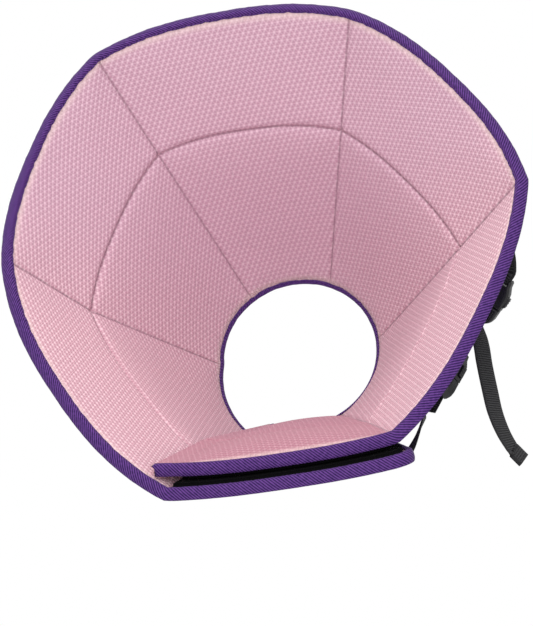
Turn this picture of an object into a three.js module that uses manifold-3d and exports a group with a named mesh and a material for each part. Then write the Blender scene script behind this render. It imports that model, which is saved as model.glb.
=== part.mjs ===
// A soft recovery cone for a pet: a padded six-sided cone that closes with an overlap under
// the chin, bound in woven tape, with two webbing straps and side-release buckles outside.
//
// Millimetres. The cone's mouth faces -Y, +Z is up, and the origin is the middle of the neck
// opening, where a neck holds the cone.
//
// The padded wall is one strip. It starts at the inner flap's free end at the lower left, runs
// under the chin, up the right side, over the top, down the left side and under the chin again
// outside the flap. A place on the wall is a panel number along the strip, with a whole number
// at each fold, and a distance back from the mouth along the cone's axis.
import * as THREE from "three";
import { mergeVertices } from "three/addons/utils/BufferGeometryUtils.js";
import Module from "manifold-3d";

const wasm = await Module();
wasm.setup();

// The cone
const MOUTH_RADIUS = 179.4;
const NECK_RADIUS = 59;
const CONE_DEPTH = 184.2;
const RING_BACK = 71.7;
const MOUTH_RISE = 11.3;
const BOW_SHARPNESS = 2.5;

// The padded wall and what closes it
const PADDING = 4.7;
const COVER = 1.2;
const CLEARANCE = 0.3;
const HOOK_TAPE = 3.1;
const LOOP_TAPE = 3.1;
const PILLOW = 0.5;
const FACE_CROWN = 4;
const FLAP_CROWN = 12;
const BACK_CROWN = 2;
const FLAP_OVERRUN = 16;
const FREE_END_OVERRUN = 5;
const FLAP_MITRE = 1.2;
const FREE_CORNER_RADIUS = 16;
const FASTENER_INSET = 3;

// The woven binding
const BINDING_WIDTH = 3.2;
const BINDING_THICKNESS = 1;
const BINDING_NOSE = 1.6;

// Webbing and buckles
const WEBBING_WIDTH = 14;
const WEBBING_THICKNESS = 1.5;
const TAB_LENGTH = 9.6;
const TAB_OVERSIZE = 1.6;
const STRAP_EASE = 1;
const STRAP_LEAD = 8;
const LANDING_LENGTH = 30;
const SHORT_END = 20;
const BUCKLE_WIDTH = 26;
const BUCKLE_THICKNESS = 8.5;
const SOCKET_LENGTH = 22;
const PLUG_LENGTH = 14;
const BAR_RADIUS = 1.5;
const PRONG_WIDTH = 3;
const BUTTON_PROUD = 1.3;

const STEPS_PER_PANEL = 8;
const FIRST_FOLD = 0;
const LAST_FOLD = 7;

// One row for each corner, from the lower left round under the chin. turn and innerTurn are
// degrees round the mouth, and round the ring seam and the neck, from +X towards +Z. rim and ring
// are shares of MOUTH_RADIUS. rimBow and ringBow, shares of it too, are how far the panel after
// the corner bows out.
const CORNERS = [
  { turn: -114.2, innerTurn: -114.2, rim: 1.048, ring: 0.767, rimBow: 0.022, ringBow: 0.02 },
  { turn: -64.9, innerTurn: -65.3, rim: 0.978, ring: 0.705, rimBow: 0.085, ringBow: 0.034 },
  { turn: 1.8, innerTurn: 1.2, rim: 1.017, ring: 0.744, rimBow: 0.09, ringBow: 0.04 },
  { turn: 61.4, innerTurn: 60.6, rim: 1.003, ring: 0.715, rimBow: 0.095, ringBow: 0.062 },
  { turn: 120.8, innerTurn: 120.8, rim: 1.051, ring: 0.777, rimBow: 0.082, ringBow: 0.045 },
  { turn: 175, innerTurn: 177.8, rim: 0.955, ring: 0.732, rimBow: 0.112, ringBow: 0.05 },
];

// One row for each fold of the strip: its corner's row, the full turns made by then, and how
// many layers out it stands at the rim and at the neck.
const FOLDS = [
  { corner: 0, turns: 0, rimLayer: -1, neckLayer: 0 },
  { corner: 1, turns: 0, rimLayer: 0, neckLayer: 0 },
  { corner: 2, turns: 0, rimLayer: 0, neckLayer: 0 },
  { corner: 3, turns: 0, rimLayer: 0, neckLayer: 0 },
  { corner: 4, turns: 0, rimLayer: 0, neckLayer: 0 },
  { corner: 5, turns: 0, rimLayer: 0, neckLayer: 0 },
  { corner: 0, turns: 1, rimLayer: 0, neckLayer: 1 },
  { corner: 1, turns: 1, rimLayer: 1, neckLayer: 1 },
];

// One row for each strap. anchor and buckle are places on the wall: a panel number and a share
// of the cone's depth. landing is the share at which the strap crosses the strip's free end.
// tilt and twist are how far the buckle, and the strap halfway to its landing, lean off the
// wall, in degrees.
const CLOSURES = [
  { name: "upper", anchor: [1.97, 0.17], buckle: [1.735, 0.29], landing: 0.66, tilt: -60, twist: -30 },
  { name: "lower", anchor: [1.515, 0.27], buckle: [1.335, 0.28], landing: 0.23, tilt: -30, twist: 60 },
];

// The upper strap's free end, from the buckle down to the tab's end: sideways from the buckle's
// middle, back from it and down from it, how far the webbing has turned from facing the front,
// and how far its right side has risen, in degrees.
const TAIL = [
  { side: -8.2, back: 5, down: 27.9, turned: 42, risen: 0 },
  { side: -8.1, back: 5, down: 44.5, turned: 42, risen: 0 },
  { side: -7.4, back: 5, down: 63.3, turned: 42, risen: 2 },
  { side: -6.3, back: 5, down: 81.2, turned: 44, risen: 8 },
  { side: -3, back: 5, down: 97.2, turned: 50, risen: 24 },
  { side: 1.6, back: 6.5, down: 109.5, turned: 58, risen: 38 },
  { side: 7.3, back: 10.6, down: 116.7, turned: 58, risen: 38 },
];

const WALL = PADDING + CLEARANCE + COVER;
const STACK = WALL + HOOK_TAPE + LOOP_TAPE + 3 * CLEARANCE;
const SLANT = Math.hypot(CONE_DEPTH, MOUTH_RADIUS - NECK_RADIUS);
const COS_SLANT = CONE_DEPTH / SLANT;
const OVERLAP_HALF_SPAN = THREE.MathUtils.degToRad(CORNERS[1].turn - CORNERS[0].turn) / 2;
const LAYER_STEP = STACK / (COS_SLANT * Math.cos(OVERLAP_HALF_SPAN));

// The wall's surface

function polar(turn, radius) {
  const angle = THREE.MathUtils.degToRad(turn);
  return new THREE.Vector2(radius * Math.cos(angle), radius * Math.sin(angle));
}

// The fold's places at the rim, the ring seam and the neck.
function foldPlaces({ corner, turns, rimLayer, neckLayer }) {
  const { turn, innerTurn, rim, ring, rimBow, ringBow } = CORNERS[corner];
  return {
    rim: polar(turn, MOUTH_RADIUS * rim + LAYER_STEP * rimLayer),
    ring: polar(innerTurn, MOUTH_RADIUS * ring + LAYER_STEP * rimLayer),
    rimBow: MOUTH_RADIUS * rimBow,
    ringBow: MOUTH_RADIUS * ringBow,
    neckTurn: innerTurn + 360 * turns,
    neckRadius: NECK_RADIUS + LAYER_STEP * neckLayer,
  };
}

const PLACES = FOLDS.map(foldPlaces);

function panelOf(along) {
  const index = THREE.MathUtils.clamp(Math.floor(along), FIRST_FOLD, LAST_FOLD - 1);
  return { from: PLACES[index], to: PLACES[index + 1], share: along - index };
}

// A straight chord between two folds, bowed outwards, and straight on past either end.
function bowedEdge(start, end, bow, share) {
  const point = start.clone().lerp(end, share);
  const outward = new THREE.Vector2(end.y - start.y, start.x - end.x).normalize();
  const inside = 1 - Math.abs(2 * share - 1) ** BOW_SHARPNESS;
  const beyond = 2 * BOW_SHARPNESS * (share < 0 ? share : 1 - share);
  return point.addScaledVector(outward, bow * (share < 0 || share > 1 ? beyond : inside));
}

function rimAt(along) {
  const { from, to, share } = panelOf(along);
  return bowedEdge(from.rim, to.rim, from.rimBow, share);
}

function ringAt(along) {
  const { from, to, share } = panelOf(along);
  return bowedEdge(from.ring, to.ring, from.ringBow, share);
}

function neckAt(along) {
  const { from, to, share } = panelOf(along);
  const turn = THREE.MathUtils.lerp(from.neckTurn, to.neckTurn, share);
  return polar(turn, THREE.MathUtils.lerp(from.neckRadius, to.neckRadius, share));
}

function wallPoint(along, back) {
  const rise = MOUTH_RISE * (1 - back / CONE_DEPTH);
  const ring = ringAt(along);
  const flat = back < RING_BACK
    ? rimAt(along).lerp(ring, back / RING_BACK)
    : ring.lerp(neckAt(along), (back - RING_BACK) / (CONE_DEPTH - RING_BACK));
  return new THREE.Vector3(flat.x, back - CONE_DEPTH, flat.y + rise);
}

// The wall's own directions at a place: out of the cone and along the strip.
function wallFrame(along, back) {
  const reach = 0.03;
  const depth = 4;
  const strip = wallPoint(along + reach, back).sub(wallPoint(along - reach, back)).normalize();
  const before = Math.max(back - depth, 0);
  const after = Math.min(back + depth, CONE_DEPTH);
  const slope = wallPoint(along, after).sub(wallPoint(along, before)).normalize();
  return { out: new THREE.Vector3().crossVectors(slope, strip).normalize(), strip };
}

function onWall(along, back, height) {
  return wallPoint(along, back).addScaledVector(wallFrame(along, back).out, height);
}

function panelLength(along, back) {
  const first = PLACES.indexOf(panelOf(along).from);
  return wallPoint(first, back).distanceTo(wallPoint(first + 1, back));
}

// Meshes

function meshGeometry(points, faces) {
  const geometry = new THREE.BufferGeometry();
  const values = points.flatMap((point) => point.toArray());
  geometry.setAttribute("position", new THREE.Float32BufferAttribute(values, 3));
  geometry.setIndex(faces.flat());
  return geometry;
}

// Closed rings of points, one after another, joined into one body with flat ends.
function loft(rings) {
  const size = rings[0].length;
  const faces = [];
  for (let ring = 0; ring + 1 < rings.length; ring += 1) {
    for (let side = 0; side < size; side += 1) {
      const a = ring * size + side;
      const b = ring * size + ((side + 1) % size);
      faces.push([a, b, b + size], [a, b + size, a + size]);
    }
  }
  return { points: rings.flat(), faces, size };
}

function capFan(ring, size, outwards) {
  const faces = [];
  for (let side = 1; side + 1 < size; side += 1) {
    faces.push(outwards ? [ring, ring + side, ring + side + 1] : [ring, ring + side + 1, ring + side]);
  }
  return faces;
}

// A piece of the wall between two heights over its surface, cut at the given panel numbers.
// rowsAt gives its distances back at each cut, and trim moves a cut along the strip.
function wallSlab({ cuts, rowsAt, inner, outer, mitre = 0, trim = (along) => along }) {
  const points = [];
  const rows = rowsAt(cuts[0]).length;
  cuts.forEach((along, cut) => {
    rowsAt(along).forEach((back) => {
      for (const height of [inner(along, back), outer(along, back)]) {
        const shift = cut === 0 ? (mitre * height) / panelLength(along, back) : 0;
        points.push(onWall(trim(along, back) + shift, back, height));
      }
    });
  });
  const at = (cut, row, side) => (cut * rows + row) * 2 + side;
  const faces = [];
  const quad = (a, b, c, d) => faces.push([a, c, b], [a, d, c]);
  for (let cut = 0; cut + 1 < cuts.length; cut += 1) {
    for (let row = 0; row + 1 < rows; row += 1) {
      quad(at(cut, row, 0), at(cut, row + 1, 0), at(cut + 1, row + 1, 0), at(cut + 1, row, 0));
      quad(at(cut, row, 1), at(cut + 1, row, 1), at(cut + 1, row + 1, 1), at(cut, row + 1, 1));
    }
    quad(at(cut, 0, 0), at(cut + 1, 0, 0), at(cut + 1, 0, 1), at(cut, 0, 1));
    quad(at(cut, rows - 1, 0), at(cut, rows - 1, 1), at(cut + 1, rows - 1, 1), at(cut + 1, rows - 1, 0));
  }
  const last = cuts.length - 1;
  for (let row = 0; row + 1 < rows; row += 1) {
    quad(at(0, row, 0), at(0, row, 1), at(0, row + 1, 1), at(0, row + 1, 0));
    quad(at(last, row, 0), at(last, row + 1, 0), at(last, row + 1, 1), at(last, row, 1));
  }
  return meshGeometry(points, faces);
}

const STRIP_START = FIRST_FOLD - FLAP_OVERRUN / panelLength(FIRST_FOLD, 0);
const STRIP_END = LAST_FOLD + FREE_END_OVERRUN / panelLength(LAST_FOLD - 0.5, 0);

// The free corner's curve: how far the wall's edge stands back from the mouth near its free end.
function freeCorner() {
  const length = panelLength(LAST_FOLD - 0.5, 0);
  const turns = 6;
  return Array.from({ length: turns + 1 }, (_, step) => {
    const angle = (step / turns) * (Math.PI / 2);
    return {
      along: STRIP_END - (FREE_CORNER_RADIUS * (1 - Math.sin(angle))) / length,
      back: FREE_CORNER_RADIUS * (1 - Math.cos(angle)) * COS_SLANT,
    };
  });
}

const CORNER = freeCorner();

function stripCuts() {
  const cuts = [STRIP_START];
  for (let step = 0; step / STEPS_PER_PANEL < CORNER[0].along - 0.25 / STEPS_PER_PANEL; step += 1) {
    cuts.push(step / STEPS_PER_PANEL);
  }
  return [...cuts, ...CORNER.map((point) => point.along)];
}

function edgeBack(along) {
  const point = CORNER.find((place) => Math.abs(place.along - along) < 1e-9);
  return point ? point.back : 0;
}

// Distances back, in shares of each zone between the bindings and the ring seam.
const MOUTH_ZONE = [0, 0.22, 0.5, 0.8, 1];
const NECK_ZONE = [0.13, 0.4, 0.7, 1];
const BOUND = (BINDING_WIDTH + 2 * CLEARANCE) * COS_SLANT;

function wallRows(along) {
  const edge = edgeBack(along);
  const mouthZone = MOUTH_ZONE.map((share) => THREE.MathUtils.lerp(edge + BOUND, RING_BACK, share));
  const neckZone = NECK_ZONE.map((share) => THREE.MathUtils.lerp(RING_BACK, CONE_DEPTH - BOUND, share));
  return [edge, ...mouthZone, ...neckZone, CONE_DEPTH];
}

// How far the padding swells between its folds, the ring seam and the bindings, from 0 to 1.
function puff(along, back) {
  const zone = back < RING_BACK
    ? (back - BOUND) / (RING_BACK - BOUND)
    : (back - RING_BACK) / (CONE_DEPTH - BOUND - RING_BACK);
  const { share } = panelOf(Math.max(along, FIRST_FOLD));
  if (zone <= 0 || zone >= 1 || share <= 0 || share >= 1) return 0;
  return (Math.sin(Math.PI * zone) * Math.sin(Math.PI * share)) ** PILLOW;
}

// Heights over the wall's surface of the padding's face and of the cover's outside. The two
// faces that the fastener holds together are flat, and so is the cover over it.
function faceHeight(along, back) {
  if (along >= LAST_FOLD - 1) return 0;
  return -puff(along, back) * (along < FIRST_FOLD + 1 ? FLAP_CROWN : FACE_CROWN);
}

function coverHeight(along, back) {
  const flat = along <= FIRST_FOLD + 1 || along >= LAST_FOLD - 1;
  return flat ? WALL : WALL + BACK_CROWN * puff(along, back);
}

function paddedLining() {
  return wallSlab({
    cuts: stripCuts(),
    rowsAt: wallRows,
    inner: faceHeight,
    outer: (along, back) => coverHeight(along, back) - COVER - CLEARANCE,
    mitre: FLAP_MITRE,
  });
}

function outerCover() {
  return wallSlab({
    cuts: stripCuts(),
    rowsAt: wallRows,
    inner: (along, back) => coverHeight(along, back) - COVER,
    outer: coverHeight,
    mitre: FLAP_MITRE,
  });
}

// Fastener tape over one panel of the strip, just inside its bindings, with room at both ends.
function fastener({ start, end, room, low, high }) {
  const cuts = Array.from({ length: STEPS_PER_PANEL }, (_, step) => start + step / STEPS_PER_PANEL);
  const trim = (along, back) => THREE.MathUtils.clamp(
    along,
    start + room.start / panelLength(start, back),
    end - room.end / panelLength(start, back),
  );
  return wallSlab({
    cuts: [...cuts, end],
    rowsAt: (along) => wallRows(along).slice(1, -1),
    inner: () => low,
    outer: () => high,
    trim,
  });
}

function hookTape() {
  const low = WALL + CLEARANCE;
  const room = { start: FASTENER_INSET, end: FASTENER_INSET };
  return fastener({ start: FIRST_FOLD, end: FIRST_FOLD + 1, room, low, high: low + HOOK_TAPE });
}

function loopTape() {
  const high = -CLEARANCE;
  const room = { start: FASTENER_INSET, end: BINDING_WIDTH + 2 * CLEARANCE };
  return fastener({ start: LAST_FOLD - 1, end: STRIP_END, room, low: high - LOOP_TAPE, high });
}

// A folded tape over the wall's edge. Each place on its path is a panel number and a distance
// back, and inward points from that edge into the wall.
function binding({ path, inwardAt, width, mitre = 0 }) {
  const low = -CLEARANCE;
  const high = WALL + CLEARANCE;
  const middle = WALL / 2;
  const half = middle + CLEARANCE + BINDING_THICKNESS;
  const nose = [60, 30, 0, -30, -60].map((degrees) => {
    const angle = THREE.MathUtils.degToRad(degrees);
    const reach = CLEARANCE + (BINDING_NOSE - CLEARANCE) * Math.cos(angle);
    return [-reach, middle + half * Math.sin(angle)];
  });
  const profile = [
    [width, low], [-CLEARANCE, low], [-CLEARANCE, high], [width, high],
    [width, high + BINDING_THICKNESS], [0, high + BINDING_THICKNESS],
    ...nose,
    [0, low - BINDING_THICKNESS], [width, low - BINDING_THICKNESS],
  ];
  const rings = path.map(({ along, back }, place) => {
    const edge = wallPoint(along, back);
    const { out, strip } = wallFrame(along, back);
    const inward = inwardAt(place);
    return profile.map(([reach, height]) => edge.clone()
      .addScaledVector(inward, reach)
      .addScaledVector(out, height)
      .addScaledVector(strip, place === 0 ? mitre * height : 0));
  });
  const { points, faces, size } = loft(rings);
  const last = (rings.length - 1) * size;
  const cap = [
    [0, 1, 10], [0, 10, 11], [0, 11, 12], [1, 2, 8], [1, 8, 9], [1, 9, 10],
    [2, 3, 5], [2, 5, 6], [2, 6, 7], [2, 7, 8], [3, 4, 5],
  ];
  const start = cap.map(([a, b, c]) => [a, c, b]);
  const end = cap.map(([a, b, c]) => [last + a, last + b, last + c]);
  return meshGeometry(points, [...faces, ...start, ...end]);
}

function inwardAlong(path) {
  return (place) => {
    const here = path[place];
    const before = path[Math.max(place - 1, 0)];
    const after = path[Math.min(place + 1, path.length - 1)];
    const run = wallPoint(after.along, after.back).sub(wallPoint(before.along, before.back));
    return new THREE.Vector3().crossVectors(run, wallFrame(here.along, here.back).out).normalize();
  };
}

function rimBinding() {
  const rim = stripCuts().map((along) => ({ along, back: edgeBack(along) }));
  const freeEnd = [];
  const first = CORNER.at(-1).back;
  for (const share of [0.25, 0.5, 0.75, 1]) {
    freeEnd.push({ along: STRIP_END, back: THREE.MathUtils.lerp(first, RING_BACK, share) });
  }
  for (const share of [0.34, 0.67, 1]) {
    freeEnd.push({ along: STRIP_END, back: THREE.MathUtils.lerp(RING_BACK, CONE_DEPTH, share) });
  }
  const path = [...rim, ...freeEnd];
  return flipped(binding({ path, inwardAt: inwardAlong(path), width: BINDING_WIDTH, mitre: FLAP_MITRE }));
}

function neckBinding() {
  const endRoom = (BINDING_WIDTH + 2 * CLEARANCE) / panelLength(LAST_FOLD - 0.5, CONE_DEPTH);
  const cuts = stripCuts().filter((along) => along < STRIP_END - endRoom - 0.5 / STEPS_PER_PANEL);
  const path = [...cuts, STRIP_END - endRoom].map((along) => ({ along, back: CONE_DEPTH }));
  const inward = inwardAlong(path);
  return binding({
    path,
    inwardAt: (place) => inward(place).negate(),
    width: BINDING_WIDTH,
    mitre: FLAP_MITRE,
  });
}

function flipped(geometry) {
  const index = Array.from(geometry.index.array);
  for (let face = 0; face < index.length; face += 3) {
    [index[face], index[face + 1]] = [index[face + 1], index[face]];
  }
  geometry.setIndex(index);
  return geometry;
}

// Solids that are joined or cut

function toSolid(geometry) {
  const bare = geometry.clone();
  bare.deleteAttribute("normal");
  bare.deleteAttribute("uv");
  const merged = mergeVertices(bare, 1e-4);
  return new wasm.Manifold(new wasm.Mesh({
    numProp: 3,
    vertProperties: new Float32Array(merged.attributes.position.array),
    triVerts: new Uint32Array(merged.index.array),
  }));
}

function fromSolid(solid) {
  const mesh = solid.getMesh();
  const geometry = new THREE.BufferGeometry();
  geometry.setAttribute("position", new THREE.BufferAttribute(new Float32Array(mesh.vertProperties), 3));
  geometry.setIndex(new THREE.BufferAttribute(new Uint32Array(mesh.triVerts), 1));
  return geometry;
}

// A box from one corner to the opposite one.
function block(x0, x1, y0, y1, z0, z1) {
  const geometry = new THREE.BoxGeometry(x1 - x0, y1 - y0, z1 - z0);
  geometry.translate((x0 + x1) / 2, (y0 + y1) / 2, (z0 + z1) / 2);
  return toSolid(geometry);
}

function bar(x, halfLength) {
  const geometry = new THREE.CylinderGeometry(BAR_RADIUS, BAR_RADIUS, 2 * halfLength, 10);
  geometry.translate(x, 0, 0);
  return toSolid(geometry);
}

// A flat moulding with its outline in the strap's plane and softened edges.
function moulding(outline, thickness) {
  const soft = 1;
  const geometry = new THREE.ExtrudeGeometry(new THREE.Shape(outline), {
    depth: thickness - 2 * soft,
    bevelEnabled: true,
    bevelThickness: soft,
    bevelSize: soft,
    bevelOffset: -soft,
    bevelSegments: 1,
  });
  geometry.translate(0, 0, soft - thickness / 2);
  return toSolid(geometry);
}

function mirrored(half) {
  const other = [...half].reverse().map(([x, y]) => [x, -y]);
  return [...half, ...other].map(([x, y]) => new THREE.Vector2(x, y));
}

// The buckle lies in its own axes: x along the pull from the anchor to the load, with its mouth
// at zero, y across the webbing and z out of the buckle's face.
const WINDOW = WEBBING_WIDTH / 2 + 0.4;
const BEND = BAR_RADIUS + CLEARANCE + WEBBING_THICKNESS / 2;
const SOCKET_BAR_X = BAR_RADIUS + 0.2 - SOCKET_LENGTH;
const PLUG_BAR_X = 2 * CLEARANCE + 1.6 + WEBBING_THICKNESS + CLEARANCE + BAR_RADIUS;
const CAVITY = { half: BUCKLE_WIDTH / 2 - 2.4, height: 2.5, depth: SOCKET_LENGTH * 0.64 };
const SIDE_WINDOW = { from: -SOCKET_LENGTH * 0.53, to: -SOCKET_LENGTH * 0.13 };

function buckleSocket() {
  const wide = BUCKLE_WIDTH / 2;
  const narrow = WINDOW + 1.9;
  const outline = mirrored([
    [-SOCKET_LENGTH, narrow - 1], [-SOCKET_LENGTH + 1, narrow], [-SOCKET_LENGTH * 0.8, narrow + 0.6],
    [-SOCKET_LENGTH * 0.6, wide - 0.8], [-SOCKET_LENGTH * 0.42, wide], [0, wide],
  ]);
  const slotEnd = SOCKET_BAR_X + BEND + WEBBING_THICKNESS / 2 + 2 * CLEARANCE;
  const tall = BUCKLE_THICKNESS;
  return fromSolid(moulding(outline, BUCKLE_THICKNESS)
    .subtract(block(-SOCKET_LENGTH - 1, slotEnd, -WINDOW, WINDOW, -tall, tall))
    .subtract(block(-CAVITY.depth, 1, -CAVITY.half, CAVITY.half, -CAVITY.height, CAVITY.height))
    .subtract(block(SIDE_WINDOW.from, SIDE_WINDOW.to, -wide - 2, wide + 2, -CAVITY.height, CAVITY.height))
    .add(bar(SOCKET_BAR_X, WINDOW + 1)));
}

function bucklePlug() {
  const wide = BUCKLE_WIDTH / 2 - 0.3;
  const end = CLEARANCE + PLUG_LENGTH;
  const round = 7;
  const curve = [0, 30, 60, 90].map((degrees) => {
    const angle = THREE.MathUtils.degToRad(degrees);
    return [end - round + round * Math.sin(angle), wide - round + round * Math.cos(angle)];
  });
  const outline = mirrored([[CLEARANCE, wide], ...curve]);
  const windowStart = PLUG_BAR_X - BEND - WEBBING_THICKNESS / 2 - CLEARANCE;
  const endBar = end - 3.6;
  const tall = BUCKLE_THICKNESS;
  let plug = moulding(outline, BUCKLE_THICKNESS)
    .subtract(block(windowStart, endBar, -WINDOW, WINDOW, -tall, tall))
    .subtract(block(endBar - 1, end + 1, -WINDOW, WINDOW, BAR_RADIUS, tall))
    .subtract(block(endBar - 1, end + 1, -WINDOW, WINDOW, -tall, -BAR_RADIUS))
    .add(bar(PLUG_BAR_X, WINDOW + 1));
  const arm = CAVITY.half - 1.4;
  const flat = CAVITY.height - 0.4;
  const tip = -CAVITY.depth + 1.4;
  const button = { from: SIDE_WINDOW.from + 0.6, to: SIDE_WINDOW.to - 0.6 };
  for (const side of [1, -1]) {
    const inside = Math.min(side * arm, side * (arm - PRONG_WIDTH));
    plug = plug.add(block(tip, CLEARANCE + 0.5, inside, inside + PRONG_WIDTH, -flat, flat));
    const edge = side * (BUCKLE_WIDTH / 2 + BUTTON_PROUD);
    const root = side * (arm - PRONG_WIDTH / 2);
    plug = plug.add(block(button.from, button.to, Math.min(edge, root), Math.max(edge, root), -flat, flat));
  }
  return fromSolid(plug.add(block(-CAVITY.depth * 0.7, CLEARANCE + 0.5, -1.8, 1.8, -flat, flat)));
}

// A width direction that lies flat on the wall, turned out of it by some degrees.
function leaning(flat, out, degrees) {
  const turn = THREE.MathUtils.degToRad(degrees);
  return flat.clone().multiplyScalar(Math.cos(turn)).addScaledVector(out, Math.sin(turn)).normalize();
}

// Where a closure's buckle stands: its middle, and the axes that the buckle lies in.
function buckleFrame({ anchor, buckle, landing, tilt }) {
  const [along, depth] = buckle;
  const back = depth * CONE_DEPTH;
  const { out } = wallFrame(along, back);
  const start = wallPoint(anchor[0], anchor[1] * CONE_DEPTH);
  const stop = wallPoint(STRIP_END - LAST_FOLD + 1, landing * CONE_DEPTH);
  const pull = stop.sub(start);
  const x = pull.addScaledVector(out, -pull.dot(out)).normalize();
  const turn = THREE.MathUtils.degToRad(tilt);
  const y = leaning(new THREE.Vector3().crossVectors(out, x), out, tilt);
  const z = new THREE.Vector3().crossVectors(x, y);
  const lean = Math.abs(Math.sin(turn)) * (BUCKLE_WIDTH / 2 + BUTTON_PROUD);
  const thick = Math.abs(Math.cos(turn)) * (BUCKLE_THICKNESS / 2);
  const middle = onWall(along, back, WALL + BACK_CROWN + 2 * CLEARANCE + lean + thick);
  return { middle, x, y, z };
}

function inBuckle(frame, x, z) {
  return frame.middle.clone().addScaledVector(frame.x, x).addScaledVector(frame.z, z);
}

// Webbing through a list of places, each with its point, its width direction and, where it
// differs, its thickness and width.
function webbing(places) {
  const rings = places.map((place, index) => {
    const before = places[Math.max(index - 1, 0)].point;
    const after = places[Math.min(index + 1, places.length - 1)].point;
    const run = after.clone().sub(before).normalize();
    const across = place.across.clone().addScaledVector(run, -place.across.dot(run)).normalize();
    const face = new THREE.Vector3().crossVectors(run, across);
    const wide = (place.width ?? WEBBING_WIDTH) / 2;
    const thick = (place.thickness ?? WEBBING_THICKNESS) / 2;
    return [[-1, -1], [1, -1], [1, 1], [-1, 1]].map(([side, top]) => place.point.clone()
      .addScaledVector(across, side * wide)
      .addScaledVector(face, top * thick));
  });
  const { points, faces, size } = loft(rings);
  const last = (rings.length - 1) * size;
  return meshGeometry(points, [...faces, ...capFan(0, size, false), ...capFan(last, size, true)]);
}

// Places between two or more given ones, on a smooth curve, with the width turning evenly.
function smoothly(places, steps) {
  const curve = new THREE.CatmullRomCurve3(places.map((place) => place.point), false, "centripetal");
  return Array.from({ length: steps + 1 }, (_, step) => {
    const reach = (step / steps) * (places.length - 1);
    const index = Math.min(Math.floor(reach), places.length - 2);
    const across = places[index].across.clone().lerp(places[index + 1].across, reach - index).normalize();
    return { point: curve.getPoint(step / steps), across };
  });
}

// Half a turn of webbing round a bar of the buckle, from its under side to its upper side.
function roundBar(frame, barX, direction) {
  return [-60, -20, 20, 60].map((degrees) => {
    const angle = THREE.MathUtils.degToRad(degrees);
    const x = barX + direction * BEND * Math.cos(angle);
    return { point: inBuckle(frame, x, BEND * Math.sin(angle)), across: frame.y };
  });
}

// A place on the cover under a strap, at a height over the cover.
function onCover([along, depth], height, across) {
  const back = depth * CONE_DEPTH;
  return { point: onWall(along, back, coverHeight(along, back) + height), across };
}

function shifted([along, depth], distance, towards) {
  const back = depth * CONE_DEPTH;
  return [along + distance / panelLength(along, back) * towards, depth];
}

// Doubled webbing from its seam on the cover, through the socket and back.
function anchorStrap(row) {
  const frame = buckleFrame(row);
  const { out } = wallFrame(row.anchor[0], row.anchor[1] * CONE_DEPTH);
  const flat = new THREE.Vector3().crossVectors(out, frame.x).normalize();
  const seam = STRAP_EASE + CLEARANCE + WEBBING_THICKNESS + CLEARANCE;
  const atBar = { point: inBuckle(frame, SOCKET_BAR_X, 0), across: frame.y };
  const before = { point: inBuckle(frame, SOCKET_BAR_X - STRAP_LEAD * 0.75, 0), across: frame.y };
  const start = onCover(row.anchor, seam, flat);
  const centre = smoothly([
    start,
    onCover(shifted(row.anchor, 4, -1), seam + 3 * CLEARANCE, flat),
    before,
    atBar,
  ], 9);
  const half = (WEBBING_THICKNESS + CLEARANCE) / 2 + 0.05;
  const layer = (side) => centre.map((place, index) => {
    const next = centre[Math.min(index + 1, centre.length - 1)].point;
    const run = next.clone().sub(centre[Math.max(index - 1, 0)].point).normalize();
    const face = new THREE.Vector3().crossVectors(run, place.across).normalize();
    const open = THREE.MathUtils.smoothstep(index / (centre.length - 1), 0.7, 1);
    const height = side * THREE.MathUtils.lerp(half, BEND, open);
    return { point: place.point.clone().addScaledVector(face, height), across: place.across };
  });
  return webbing([...layer(-1), ...roundBar(frame, SOCKET_BAR_X, 1), ...layer(1).reverse()]);
}

// The strap from its seam on the outer layer, under the plug, round its bar and out again.
function pullStrap(row, tail) {
  const frame = buckleFrame(row);
  const { out } = wallFrame(STRIP_END, row.landing * CONE_DEPTH);
  const flat = new THREE.Vector3().crossVectors(out, frame.x).normalize();
  const seam = STRAP_EASE + CLEARANCE + WEBBING_THICKNESS / 2;
  const lift = seam + CLEARANCE + BINDING_THICKNESS;
  const middle = [(row.buckle[0] + 1) / 2, (row.buckle[1] + row.landing) / 2];
  const twisted = leaning(flat, out, row.twist);
  const end = [STRIP_END, row.landing];
  const load = smoothly([
    onCover(shifted(end, LANDING_LENGTH, -1), seam, flat),
    onCover(shifted(end, BINDING_WIDTH + 6, -1), seam + CLEARANCE, flat),
    onCover(shifted(end, BINDING_WIDTH, -1), lift, flat),
    onCover(shifted(end, BINDING_NOSE, 1), lift, flat),
    onCover(middle, STACK, twisted),
    { point: inBuckle(frame, PLUG_LENGTH + STRAP_LEAD, -BEND - 2 * CLEARANCE), across: frame.y },
    { point: inBuckle(frame, PLUG_LENGTH + STRAP_LEAD / 4, -BEND), across: frame.y },
  ], 24);
  const under = { point: inBuckle(frame, PLUG_BAR_X, -BEND), across: frame.y };
  return webbing([...load, under, ...roundBar(frame, PLUG_BAR_X, -1), ...tail(frame)]);
}

// The lower strap's short end lies back along its load.
function shortEnd(frame) {
  return [PLUG_BAR_X, PLUG_LENGTH, PLUG_BAR_X + SHORT_END].map((x) => ({
    point: inBuckle(frame, x, BEND),
    across: frame.y,
  }));
}

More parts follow.
